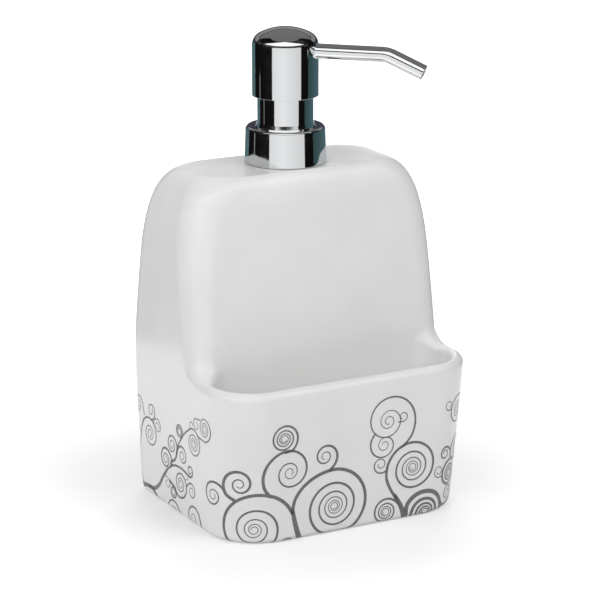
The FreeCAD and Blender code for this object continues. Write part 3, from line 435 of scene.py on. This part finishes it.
def surface_net(low, high, step):
    """Corners and four-sided faces of the ceramic's surface on a grid of cells."""
    axes = [np.arange(a, b + step, step) for a, b in zip(low, high)]
    field = ceramic_field(*np.meshgrid(*axes, indexing="ij"))
    inside = field < 0
    cells = np.array(field.shape) - 1
    total = np.zeros((int(cells.prod()), 3))
    count = np.zeros(int(cells.prod()))
    faces = []
    for axis in range(3):
        ahead = [slice(None)] * 3
        ahead[axis] = slice(1, None)
        behind = [slice(None)] * 3
        behind[axis] = slice(None, -1)
        start, end = field[tuple(behind)], field[tuple(ahead)]
        # Where the surface crosses a grid line, between a place inside and one outside
        crossing = np.argwhere(inside[tuple(behind)] != inside[tuple(ahead)])
        keys = tuple(crossing.T)
        share = start[keys] / (start[keys] - end[keys])
        spots = crossing.astype(float)
        spots[:, axis] += share
        # The four cells round that line are the corners of one face
        side, up = (axis + 1) % 3, (axis + 2) % 3
        ring = []
        for back_side, back_up in ((1, 1), (0, 1), (0, 0), (1, 0)):
            cell = crossing.copy()
            cell[:, side] -= back_side
            cell[:, up] -= back_up
            ring.append(np.ravel_multi_index(tuple(cell.T), tuple(cells)))
        for one in ring:
            np.add.at(total, one, spots)
            np.add.at(count, one, 1)
        quads = np.stack(ring, axis=1)
        flip = ~inside[tuple(behind)][keys]
        quads[flip] = quads[flip][:, ::-1]
        faces.append(quads)
    # A cell's corner is the middle of the crossings on its edges
    used = np.flatnonzero(count)
    number = np.zeros(len(count), dtype=int)
    number[used] = np.arange(len(used))
    spots = total[used] / count[used][:, None] * step + np.array([axis[0] for axis in axes])
    return spots, number[np.concatenate(faces)]


def new_piece(name, spots, faces, body, material, node=None):
    """A mesh piece from corners in millimetres, on its body and with its material."""
    mesh = bpy.data.meshes.new(name)
    mesh.from_pydata([tuple(spot) for spot in np.asarray(spots) * MM], [], [tuple(f) for f in faces])
    mesh.polygons.foreach_set("use_smooth", [True] * len(mesh.polygons))
    mesh.materials.append(material)
    piece = bpy.data.objects.new(name, mesh)
    bpy.context.scene.collection.objects.link(piece)
    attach(piece, body)
    if node:
        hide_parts(node)
    return piece


def rgba(colour):
    """Red, green, blue and alpha of a colour or of a grey."""
    return (*colour, 1) if isinstance(colour, tuple) else (colour, colour, colour, 1)


def new_material(name, colour, roughness, metallic=0.0):
    """A plain material and its shader."""
    material = bpy.data.materials.new(name)
    material.use_nodes = True
    shader = material.node_tree.nodes["Principled BSDF"]
    shader.inputs["Base Color"].default_value = rgba(colour)
    shader.inputs["Roughness"].default_value = roughness
    shader.inputs["Metallic"].default_value = metallic
    return material, shader


def add_noise(material, scale, detail=NOISE_DETAIL):
    """Noise in the object's own space."""
    tree = material.node_tree
    place = tree.nodes.new("ShaderNodeTexCoord")
    noise = tree.nodes.new("ShaderNodeTexNoise")
    noise.inputs["Scale"].default_value = scale
    noise.inputs["Detail"].default_value = detail
    tree.links.new(place.outputs["Object"], noise.inputs["Vector"])
    return noise


def vary(material, shader, socket, noise, low, high):
    """Lets a socket follow the noise between two values or colours."""
    tree = material.node_tree
    ramp = tree.nodes.new("ShaderNodeValToRGB")
    for element, position, value in zip(ramp.color_ramp.elements, NOISE_SPAN, (low, high)):
        element.position = position
        element.color = rgba(value)
    tree.links.new(noise.outputs["Fac"], ramp.inputs["Fac"])
    tree.links.new(ramp.outputs["Color"], shader.inputs[socket])


def roughen(material, shader, noise, strength, depth):
    """A bump that follows the noise."""
    tree = material.node_tree
    bump = tree.nodes.new("ShaderNodeBump")
    bump.inputs["Strength"].default_value = strength
    bump.inputs["Distance"].default_value = depth
    tree.links.new(noise.outputs["Fac"], bump.inputs["Height"])
    tree.links.new(bump.outputs["Normal"], shader.inputs["Normal"])


def make_glaze():
    """White glaze, a little uneven in colour, shine and surface."""
    material, shader = new_material("ceramic_glaze", GLAZE_COLOUR, GLAZE_ROUGHNESS)
    noise = add_noise(material, GLAZE_GRAIN)
    vary(material, shader, "Base Color", noise, *GLAZE_COLOURS)
    vary(material, shader, "Roughness", noise, *GLAZE_ROUGHNESSES)
    ripple = add_noise(material, GLAZE_RIPPLE, RIPPLE_DETAIL)
    roughen(material, shader, ripple, RIPPLE_STRENGTH, RIPPLE_DEPTH)
    return material


def make_print():
    """Dark grey of the scroll print."""
    material, shader = new_material("scroll_print", PRINT_COLOUR, PRINT_ROUGHNESS)
    vary(material, shader, "Base Color", add_noise(material, PRINT_GRAIN), *PRINT_COLOURS)
    return material


def make_chrome():
    """Bright chrome."""
    material, shader = new_material("chrome_metal", CHROME_COLOUR, CHROME_ROUGHNESS, metallic=1.0)
    vary(material, shader, "Roughness", add_noise(material, CHROME_GRAIN), *CHROME_ROUGHNESSES)
    return material


def make_plastic(name, colour, roughness):
    """Moulded plastic or rubber with a fine grain."""
    material, shader = new_material(name, colour, roughness)
    noise = add_noise(material, PLASTIC_GRAIN)
    spread = roughness * PLASTIC_SPREAD
    vary(material, shader, "Roughness", noise, roughness - spread, roughness + spread)
    roughen(material, shader, noise, PLASTIC_BUMP, PLASTIC_DEPTH)
    return material


def make_steel(name):
    """Bare steel of the balls and the spring."""
    material, shader = new_material(name, STEEL_COLOUR, STEEL_ROUGHNESS, metallic=1.0)
    vary(material, shader, "Roughness", add_noise(material, STEEL_GRAIN), *STEEL_ROUGHNESSES)
    return material


MATERIALS = {
    "ceramic_glaze": make_glaze(),
    "scroll_print": make_print(),
    "chrome_metal": make_chrome(),
    "white_plastic": make_plastic("white_plastic", WHITE_PLASTIC_COLOUR, WHITE_PLASTIC_ROUGHNESS),
    "clear_plastic": make_plastic("clear_plastic", CLEAR_PLASTIC_COLOUR, CLEAR_PLASTIC_ROUGHNESS),
    "seal_rubber": make_plastic("seal_rubber", RUBBER_COLOUR, RUBBER_ROUGHNESS),
    "ball_steel": make_steel("ball_steel"),
    "spring_steel": make_steel("spring_steel"),
}


def dress_nodes():
    """Each CAD node gets its slot's procedural material."""
    slots = {part["node"]: part["material_slot"] for part in frame["record"]["subparts"]}
    for name, node in frame["nodes"].items():
        node.data.materials.clear()
        node.data.materials.append(MATERIALS[slots[name]])


def make_ceramic():
    """Glazed body with soft edges, over the CAD body."""
    reach = np.array([RIM_HALF_WIDTH, HALF_DEPTH]) + GRID_MARGIN
    spots, faces = surface_net((*-reach, -GRID_MARGIN), (*reach, LAND_HEIGHT + GRID_MARGIN), GRID_STEP)
    glaze = MATERIALS["ceramic_glaze"]
    piece = new_piece("glazed_body", settle(spots), faces, "dispenser", glaze, "ceramic_body")


def wall_spots(along, height):
    """Places on the wall in space, from the distance along its foot and the height."""
    width = BASE_HALF_WIDTH + (RIM_HALF_WIDTH - BASE_HALF_WIDTH) * height / RIM_HEIGHT
    front = block_front(height)
    # From the middle of the front: the front, its corner, the side, the back's corner and the back
    pieces = [width - FRONT_CORNER, FRONT_CORNER * math.pi / 2 + 0 * width,
              HALF_DEPTH - BACK_CORNER - front - FRONT_CORNER, BACK_CORNER * math.pi / 2 + 0 * width,
              width - BACK_CORNER]
    ends = np.cumsum(pieces, axis=0)
    along = (along + ends[-1]) % (2 * ends[-1]) - ends[-1]
    past = np.abs(along) - np.vstack([np.zeros((1, len(width))), ends[:-1]])
    first, second = past[1] / FRONT_CORNER, past[3] / BACK_CORNER
    x = [past[0], width - FRONT_CORNER + FRONT_CORNER * np.sin(first), width,
         width - BACK_CORNER + BACK_CORNER * np.cos(second), width - BACK_CORNER - past[4]]
    y = [front, front + FRONT_CORNER * (1 - np.cos(first)), front + FRONT_CORNER + past[2],
         HALF_DEPTH - BACK_CORNER + BACK_CORNER * np.sin(second), HALF_DEPTH + 0 * width]
    part = (past[1:] > 0).sum(axis=0)
    column = np.arange(len(width))
    return np.stack([np.sign(along) * np.array(x)[part, column], np.array(y)[part, column], height], axis=1)


def curl_line(lead, centre, way, shrink, width):
    """Spots and widths of a line that winds into its middle."""
    start = np.array(lead[-1], dtype=float) - centre
    radius = np.hypot(*start)
    turns = np.arange(1, math.log(CURL_INSIDE / radius, shrink) * SPOTS_A_TURN) / SPOTS_A_TURN
    angle = math.atan2(start[1], start[0]) + way * 2 * math.pi * turns
    reach = radius * shrink ** turns
    widths = np.maximum(width * shrink ** (turns * LINE_FADE), LEAST_LINE)
    winding = [centre[0] + reach * np.cos(angle), centre[1] + reach * np.sin(angle), widths]
    return np.vstack([[(*spot, width) for spot in lead], np.stack(winding, axis=1)])


def stem_line(lead, first, last):
    """Spots and widths of a stem whose width goes evenly from its first to its last."""
    return np.column_stack([lead, np.linspace(first, last, len(lead))])


def smooth_line(spots):
    """Even samples on a smooth line through some spots."""
    reach = np.append(0, np.cumsum(np.linalg.norm(np.diff(spots[:, :2], axis=0), axis=1)))
    slope = np.gradient(spots, reach, axis=0)
    along = np.linspace(0, reach[-1], int(reach[-1] / PRINT_STEP) + 3)
    part = np.clip(np.searchsorted(reach, along, side="right") - 1, 0, len(spots) - 2)
    span = (reach[part + 1] - reach[part])[:, None]
    share = (along - reach[part])[:, None] / span
    rest = 1 - share
    bend = span * share * rest * (slope[part] * rest - slope[part + 1] * share)
    return spots[part] * (1 + 2 * share) * rest ** 2 + spots[part + 1] * (3 - 2 * share) * share ** 2 + bend


def make_print_piece(name, lines):
    """Thin print over the glaze, along some lines."""
    spots, faces = [], []
    for line in lines:
        line = smooth_line(line)
        way = np.gradient(line[:, :2], axis=0)
        way /= np.linalg.norm(way, axis=1, keepdims=True)
        beside = np.stack([-way[:, 1], way[:, 0]], axis=1) * line[:, 2:] / 2
        # A ribbon has three spots across: its middle and its two edges
        flat = np.stack([line[:, :2] - beside, line[:, :2], line[:, :2] + beside], axis=1).reshape(-1, 2)
        start = np.arange(len(line) - 1)[:, None] * 3 + np.arange(2)
        quads = np.stack([start, start + 3, start + 4, start + 1], axis=-1).reshape(-1, 4)
        quads = quads[(flat[quads, 1] > PRINT_LOWEST).any(axis=1)]
        faces.append(quads + sum(len(part) for part in spots))
        spots.append(flat)
    spots, faces = np.vstack(spots), np.vstack(faces)
    used, faces = np.unique(faces, return_inverse=True)
    along, height = spots[used].T
    placed = settle(wall_spots(along, np.maximum(height, PRINT_LOWEST)), PRINT_HEIGHT, PRINT_SETTLING)
    new_piece(name, placed, faces.reshape(-1, 4), "dispenser", MATERIALS["scroll_print"])


def scroll_lines(stems, curls):
    """Lines of some stems and curls."""
    return [stem_line(*stem) for stem in stems] + [curl_line(*curl) for curl in curls]


def make_scrolls():
    """Scrolls round the foot. The unseen right side mirrors the left, and the back repeats the front."""
    front = scroll_lines(FRONT_STEMS, FRONT_CURLS)
    side = scroll_lines(SIDE_STEMS, SIDE_CURLS)
    make_print_piece("scrolls_front", front)
    make_print_piece("scrolls_corners", scroll_lines(CORNER_STEMS, CORNER_CURLS))
    make_print_piece("scrolls_left", side)
    make_print_piece("scrolls_right", [line[::-1] * np.array([-1, 1, 1]) for line in side])
    make_print_piece("scrolls_back", [line + np.array([BACK_SHIFT, 0, 0]) for line in front])


def section(corners):
    """Closed outline with rounded corners, each held in shape by a spot close beside it."""
    corners = [(np.array(corner[:2]), corner[2]) for corner in corners]
    spots = []
    for index, (here, size) in enumerate(corners):
        if not size:
            spots.append(here)
            continue
        sides = [corners[index - 1], corners[(index + 1) % len(corners)]]
        lengths = [np.linalg.norm(spot - here) for spot, _ in sides]
        ways = [(spot - here) / length for (spot, _), length in zip(sides, lengths)]
        half = math.acos(np.clip(ways[0] @ ways[1], -1, 1)) / 2
        reach = size / math.tan(half)
        middle = ways[0] + ways[1]
        centre = here + middle / np.linalg.norm(middle) * size / math.sin(half)
        ends = [here + way * reach for way in ways]
        holds = [min(EDGE_HOLD, (length - reach) / 3) for length in lengths]
        spots.append(ends[0] + ways[0] * holds[0])
        for share in np.linspace(0, 1, ARC_STEPS + 1):
            bow = ends[0] * (1 - share) + ends[1] * share - centre
            spots.append(centre + bow / np.linalg.norm(bow) * size)
        spots.append(ends[1] + ways[1] * holds[1])
    return np.array(spots)


def ring_faces(rings, closed):
    """Faces between rings of corners, where a closed row of rings comes back to its first."""
    ring = np.arange(rings if closed else rings - 1)[:, None]
    spot = np.arange(AROUND)[None]
    ahead, beside = (ring + 1) % rings, (spot + 1) % AROUND
    quads = [ring * AROUND + spot, ring * AROUND + beside, ahead * AROUND + beside, ahead * AROUND + spot]
    return [tuple(quad) for quad in np.stack(quads, axis=-1).reshape(-1, 4)]


def chrome_piece(name, spots, faces, body, node):
    """Chrome piece over a CAD node."""
    piece = new_piece(name, spots, faces, body, MATERIALS["chrome_metal"], node)


def turned_piece(name, spots, body, node):
    """Chrome piece turned round the pump's axis. An outline that starts and ends on the axis is open."""
    open_ends = spots[0][0] == 0
    ringed = spots[1:-1] if open_ends else spots
    rings = np.stack([ringed[:, :1] * np.cos(RING_ANGLES), PUMP_Y + ringed[:, :1] * np.sin(RING_ANGLES),
                      np.repeat(ringed[:, 1:], AROUND, axis=1)], axis=-1).reshape(-1, 3)
    faces = ring_faces(len(ringed), not open_ends)
    if open_ends:
        rings = np.vstack([rings, (0, PUMP_Y, spots[0][1]), (0, PUMP_Y, spots[-1][1])])
        last = (len(ringed) - 1) * AROUND
        first_pole, last_pole = len(rings) - 2, len(rings) - 1
        for one in range(AROUND):
            other = (one + 1) % AROUND
            faces += [(first_pole, other, one), (last + one, last + other, last_pole)]
    chrome_piece(name, rings, faces, body, node)


def make_collar():
    """Thin collar, open below, with a hole for the sleeve."""
    inside = COLLAR_TOP_RADIUS - COLLAR_WALL
    turned_piece("chrome_collar", section([
        (COLLAR_RADIUS, COLLAR_FOOT, EDGE_SOFTNESS), (COLLAR_TOP_RADIUS, COLLAR_TOP, COLLAR_EDGE),
        (COLLAR_HOLE, COLLAR_TOP, EDGE_SOFTNESS), (COLLAR_HOLE, COLLAR_TOP - COLLAR_WALL, EDGE_SOFTNESS),
        (inside, COLLAR_TOP - COLLAR_WALL, EDGE_SOFTNESS),
        (COLLAR_RADIUS - COLLAR_WALL, COLLAR_FOOT, EDGE_SOFTNESS)]), "closure", "collar_shell")


def make_sleeve():
    """Sleeve with a wider foot, and a flange that stays under the collar."""
    bore = SLEEVE_RADIUS - SLEEVE_WALL
    turned_piece("chrome_sleeve", section([
        (SLEEVE_FLANGE_RADIUS, SLEEVE_FOOT, EDGE_SOFTNESS),
        (SLEEVE_FLANGE_RADIUS, SLEEVE_FOOT + SLEEVE_FLANGE, EDGE_SOFTNESS),
        (SLEEVE_STEP_RADIUS, SLEEVE_FOOT + SLEEVE_FLANGE, EDGE_SOFTNESS),
        (SLEEVE_STEP_RADIUS, COLLAR_TOP, EDGE_SOFTNESS), (SLEEVE_RADIUS, SLEEVE_STEP, EDGE_SOFTNESS),
        (SLEEVE_RADIUS, SLEEVE_TOP, EDGE_SOFTNESS), (bore, SLEEVE_TOP, EDGE_SOFTNESS),
        (bore, SLEEVE_FOOT, EDGE_SOFTNESS)]), "closure", "guide_sleeve")


def dome(inset):
    """Spots from the head's wall over its soft shoulder to the axis, drawn in by an inset."""
    ball = (HEAD_RADIUS ** 2 + DOME_RISE ** 2) / (2 * DOME_RISE)
    hub = HEAD_RADIUS - HEAD_EDGE
    rise = math.sqrt((ball - HEAD_EDGE) ** 2 - hub ** 2)
    middle = HEAD_TOP - ball
    turn = math.atan2(rise, hub)
    edge = HEAD_EDGE - inset
    shoulder = [(hub + edge * math.cos(angle), middle + rise + edge * math.sin(angle), 0)
                for angle in np.linspace(0, turn, DOME_STEPS)]
    cap = [((ball - inset) * math.cos(angle), middle + (ball - inset) * math.sin(angle), 0)
           for angle in np.linspace(turn, math.pi / 2, DOME_STEPS)]
    return shoulder + cap[1:]


def make_head():
    """Thin domed head, open below. Its outline starts and ends on the axis."""
    spots = section(dome(HEAD_WALL)[::-1] + [(HEAD_RADIUS - HEAD_WALL, HEAD_FOOT, EDGE_SOFTNESS),
                                             (HEAD_RADIUS, HEAD_FOOT, EDGE_SOFTNESS)] + dome(0))
    spots[[0, -1], 0] = 0
    turned_piece("chrome_head", spots, "head", "head_shell")


def spout_frame(distance):
    """Place and direction at a distance along the spout's bent line, before its turn."""
    straight = SPOUT_RUN - SPOUT_ROOT
    bent = SPOUT_BEND * SPOUT_DROP
    drop = min(max(distance - straight, 0) / SPOUT_BEND, SPOUT_DROP)
    out = SPOUT_ROOT + min(distance, straight) + SPOUT_BEND * math.sin(drop)
    low = SPOUT_HEIGHT - SPOUT_BEND * (1 - math.cos(drop))
    tip = max(distance - straight - bent, 0)
    way = np.array([math.cos(drop), -math.sin(drop)])
    return np.array([out, low]) + tip * way, way


def make_spout():
    """Bent chrome tube with a square end, hollow at its mouth."""
    length = SPOUT_RUN - SPOUT_ROOT + SPOUT_BEND * SPOUT_DROP + SPOUT_TIP
    bend = np.linspace(SPOUT_RUN - SPOUT_ROOT, length - SPOUT_TIP, DOME_STEPS + 1)
    bore = SPOUT_RADIUS - SPOUT_WALL
    spots = section([(0, bore, EDGE_SOFTNESS), (0, SPOUT_RADIUS, EDGE_SOFTNESS)]
                    + [(spot, SPOUT_RADIUS, 0) for spot in bend]
                    + [(length, SPOUT_RADIUS, EDGE_SOFTNESS), (length, bore, EDGE_SOFTNESS)]
                    + [(spot, bore, 0) for spot in bend[::-1]])
    rings = []
    for distance, radius in spots:
        (out, low), (ahead, down) = spout_frame(distance)
        side = radius * np.cos(RING_ANGLES)
        up = radius * np.sin(RING_ANGLES)
        rings.append(np.stack([out - down * up, -side, low + ahead * up], axis=1))
    rings = np.concatenate(rings)
    x, y, z = rings.T
    rings = np.stack([x * math.cos(SPOUT_TURN) - y * math.sin(SPOUT_TURN),
                      PUMP_Y + x * math.sin(SPOUT_TURN) + y * math.cos(SPOUT_TURN), z], axis=1)
    chrome_piece("chrome_spout", rings, ring_faces(len(spots), True), "head", "spout_tube")


def stage_piece(name, corners, faces, material):
    """A floor or studio card, which isn't part of the object."""
    mesh = bpy.data.meshes.new(name)
    mesh.from_pydata([tuple(corner) for corner in corners], [], faces)
    mesh.materials.append(material)
    thing = bpy.data.objects.new(name, mesh)
    bpy.context.scene.collection.objects.link(thing)
    return thing


def level_square(half, height):
    """Corners of a level square round the middle."""
    return [(-half, -half, height), (half, -half, height), (half, half, height), (-half, half, height)]


def seen_or_mirrored(tree):
    """One for rays from the camera, in reflections and through glass, and none for the rest."""
    path = tree.nodes.new("ShaderNodeLightPath")
    mirrored = tree.nodes.new("ShaderNodeMath")
    either = tree.nodes.new("ShaderNodeMath")
    either.use_clamp = True
    tree.links.new(path.outputs["Is Glossy Ray"], mirrored.inputs[0])
    tree.links.new(path.outputs["Is Transmission Ray"], mirrored.inputs[1])
    tree.links.new(path.outputs["Is Camera Ray"], either.inputs[0])
    tree.links.new(mirrored.outputs[0], either.inputs[1])
    return either.outputs[0]


def add_floor():
    """Pale matt floor, lifted to white for the camera and in reflections by a glow. The glow is weaker
    round the object, a painted shade there, in which its shadow also stays."""
    material, shader = new_material("floor_white", FLOOR_COLOUR, FLOOR_ROUGHNESS)
    shader.inputs["Specular IOR Level"].default_value = 0.0
    tree = material.node_tree
    place = tree.nodes.new("ShaderNodeTexCoord")
    reach = tree.nodes.new("ShaderNodeVectorMath")
    reach.operation = "LENGTH"
    tree.links.new(place.outputs["Object"], reach.inputs[0])
    # The glow grows with distance from the object: weaker near it, which paints shade round the object.
    rise = tree.nodes.new("ShaderNodeValToRGB")
    rise.color_ramp.interpolation = "EASE"
    for _ in FLOOR_LIFTS[2:]:
        rise.color_ramp.elements.new(1)
    for element, (distance, grey) in zip(rise.color_ramp.elements, FLOOR_LIFTS):
        element.position = distance
        element.color = rgba(grey)
    tree.links.new(reach.outputs["Value"], rise.inputs["Fac"])
    lift = tree.nodes.new("ShaderNodeMath")
    lift.operation = "MULTIPLY"
    tree.links.new(rise.outputs["Color"], lift.inputs[1])
    tree.links.new(seen_or_mirrored(tree), lift.inputs[0])
    shader.inputs["Emission Color"].default_value = rgba(1)
    tree.links.new(lift.outputs[0], shader.inputs["Emission Strength"])
    stage_piece("floor", level_square(FLOOR_SIZE, 0), [(0, 1, 2, 3)], material)


def make_glow():
    """Glow of the cards, in each corner's own colour."""
    material = bpy.data.materials.new("card_glow")
    material.use_nodes = True
    tree = material.node_tree
    tree.nodes.clear()
    colour = tree.nodes.new("ShaderNodeVertexColor")
    colour.layer_name = "glow"
    glow = tree.nodes.new("ShaderNodeEmission")
    out = tree.nodes.new("ShaderNodeOutputMaterial")
    tree.links.new(colour.outputs["Color"], glow.inputs["Color"])
    tree.links.new(glow.outputs["Emission"], out.inputs["Surface"])
    return material


def add_card(name, corners, faces, colours, material):
    """A studio card that stands out of the picture and shades nothing: only shiny surfaces see it."""
    card = stage_piece(name, np.array(corners) * MM, faces, material)
    layer = card.data.color_attributes.new("glow", "FLOAT_COLOR", "POINT")
    layer.data.foreach_set("color", np.array(colours, dtype=float).ravel())
    card.visible_camera = False
    card.visible_diffuse = False
    card.visible_shadow = False
    card.visible_transmission = False


def round_pump(degrees, radius, height):
    """A place round the pump's axis, by the degrees from the camera's side."""
    angle = math.radians(degrees) + CAMERA_TURN - math.pi / 2
    return radius * math.cos(angle), PUMP_Y + radius * math.sin(angle), height


def strip_faces():
    """Faces of a bent strip whose corners come in pairs."""
    return [(2 * i, 2 * i + 2, 2 * i + 3, 2 * i + 1) for i in range(CARD_PARTS)]


def add_drum_card(name, radius, start, end, material):
    """Upright card round the pump, whose heights and colour change evenly from start to end."""
    corners, colours = [], []
    for share in np.linspace(0, 1, CARD_PARTS + 1):
        degrees, low, high = (start[i] * (1 - share) + end[i] * share for i in range(3))
        colour = np.array(rgba(start[3])) * (1 - share) + np.array(rgba(end[3])) * share
        corners += [round_pump(degrees, radius, height) for height in (low, high)]
        colours += [colour] * 2
    add_card(name, corners, strip_faces(), colours, material)


def add_slats(material):
    """Slats on cones that all meet at the height of their eye, on the pump's axis."""
    for row, inside in enumerate(SLAT_INSIDES):
        slope = (inside - SLAT_EYE) / SLAT_RADII[0]
        for side, drop, grey in (("top", 0, SLAT_GREY), ("under", SLAT_THICKNESS, BLACK)):
            corners = [round_pump(degrees, radius, SLAT_EYE + slope * radius - drop)
                       for degrees in np.linspace(SLAT_START, SLAT_END, CARD_PARTS + 1)
                       for radius in SLAT_RADII]
            colours = [rgba(grey)] * len(corners)
            add_card(f"slat_{side}_{row}", corners, strip_faces(), colours, material)


def add_cards():
    """Cards and slats round the pump for the bands in its chrome, under a grey ceiling."""
    material = make_glow()
    for name, radius, start, end in CARDS:
        add_drum_card(name, radius, start, end, material)
    add_slats(material)
    corners = level_square(CEILING_SIZE, CEILING_HEIGHT)[::-1]
    add_card("ceiling", corners, [(0, 1, 2, 3)], [rgba(CEILING_GREY)] * 4, material)


def add_lamp(name, side, height, power):
    """Soft square lamp, turned towards the object."""
    light = bpy.data.lights.new(name, "AREA")
    light.size = LAMP_SIZE
    light.energy = power
    angle, tilt = math.radians(side) + CAMERA_TURN, math.radians(height)
    way = Vector((math.cos(tilt) * math.sin(angle), -math.cos(tilt) * math.cos(angle), math.sin(tilt)))
    lamp = bpy.data.objects.new(name, light)
    lamp.location = Vector((0, 0, LAMP_AIM)) + way * LAMP_DISTANCE
    lamp.rotation_euler = way.to_track_quat("Z", "Y").to_euler()
    lamp.visible_camera = False
    bpy.context.scene.collection.objects.link(lamp)


def light_room():
    """White room for camera and reflections, softer room light on matt surfaces, and the lamps."""
    world = bpy.data.worlds.new("room")
    world.use_nodes = True
    tree = world.node_tree
    room = tree.nodes["Background"]
    room.inputs["Strength"].default_value = ROOM_LIGHT
    room.inputs["Color"].default_value = rgba(1)
    seen = tree.nodes.new("ShaderNodeBackground")
    seen.inputs["Color"].default_value = rgba(1)
    mix = tree.nodes.new("ShaderNodeMixShader")
    tree.links.new(seen_or_mirrored(tree), mix.inputs["Fac"])
    tree.links.new(room.outputs[0], mix.inputs[1])
    tree.links.new(seen.outputs[0], mix.inputs[2])
    tree.links.new(mix.outputs[0], tree.nodes["World Output"].inputs["Surface"])
    bpy.context.scene.world = world
    for lamp in LAMPS:
        add_lamp(*lamp)


def add_camera():
    """The photograph's camera."""
    right = Vector((math.cos(CAMERA_TURN), math.sin(CAMERA_TURN), 0))
    back = Vector((math.sin(CAMERA_TURN) * math.cos(CAMERA_TILT),
                   -math.cos(CAMERA_TURN) * math.cos(CAMERA_TILT), math.sin(CAMERA_TILT)))
    aim = Vector((0, AIM_Y, AIM_HEIGHT)) + right * AIM_SHIFT
    data = bpy.data.cameras.new("camera")
    data.lens = CAMERA_LENS
    camera = bpy.data.objects.new("camera", data)
    camera.location = (aim + back * CAMERA_DISTANCE) * MM
    camera.rotation_euler = (math.pi / 2 - CAMERA_TILT, 0, CAMERA_TURN)
    bpy.context.scene.collection.objects.link(camera)
    bpy.context.scene.camera = camera


bpy.context.scene.view_settings.view_transform = "Standard"
dress_nodes()
make_ceramic()
make_scrolls()
make_collar()
make_sleeve()
make_head()
make_spout()
add_floor()
add_cards()
light_room()
add_camera()
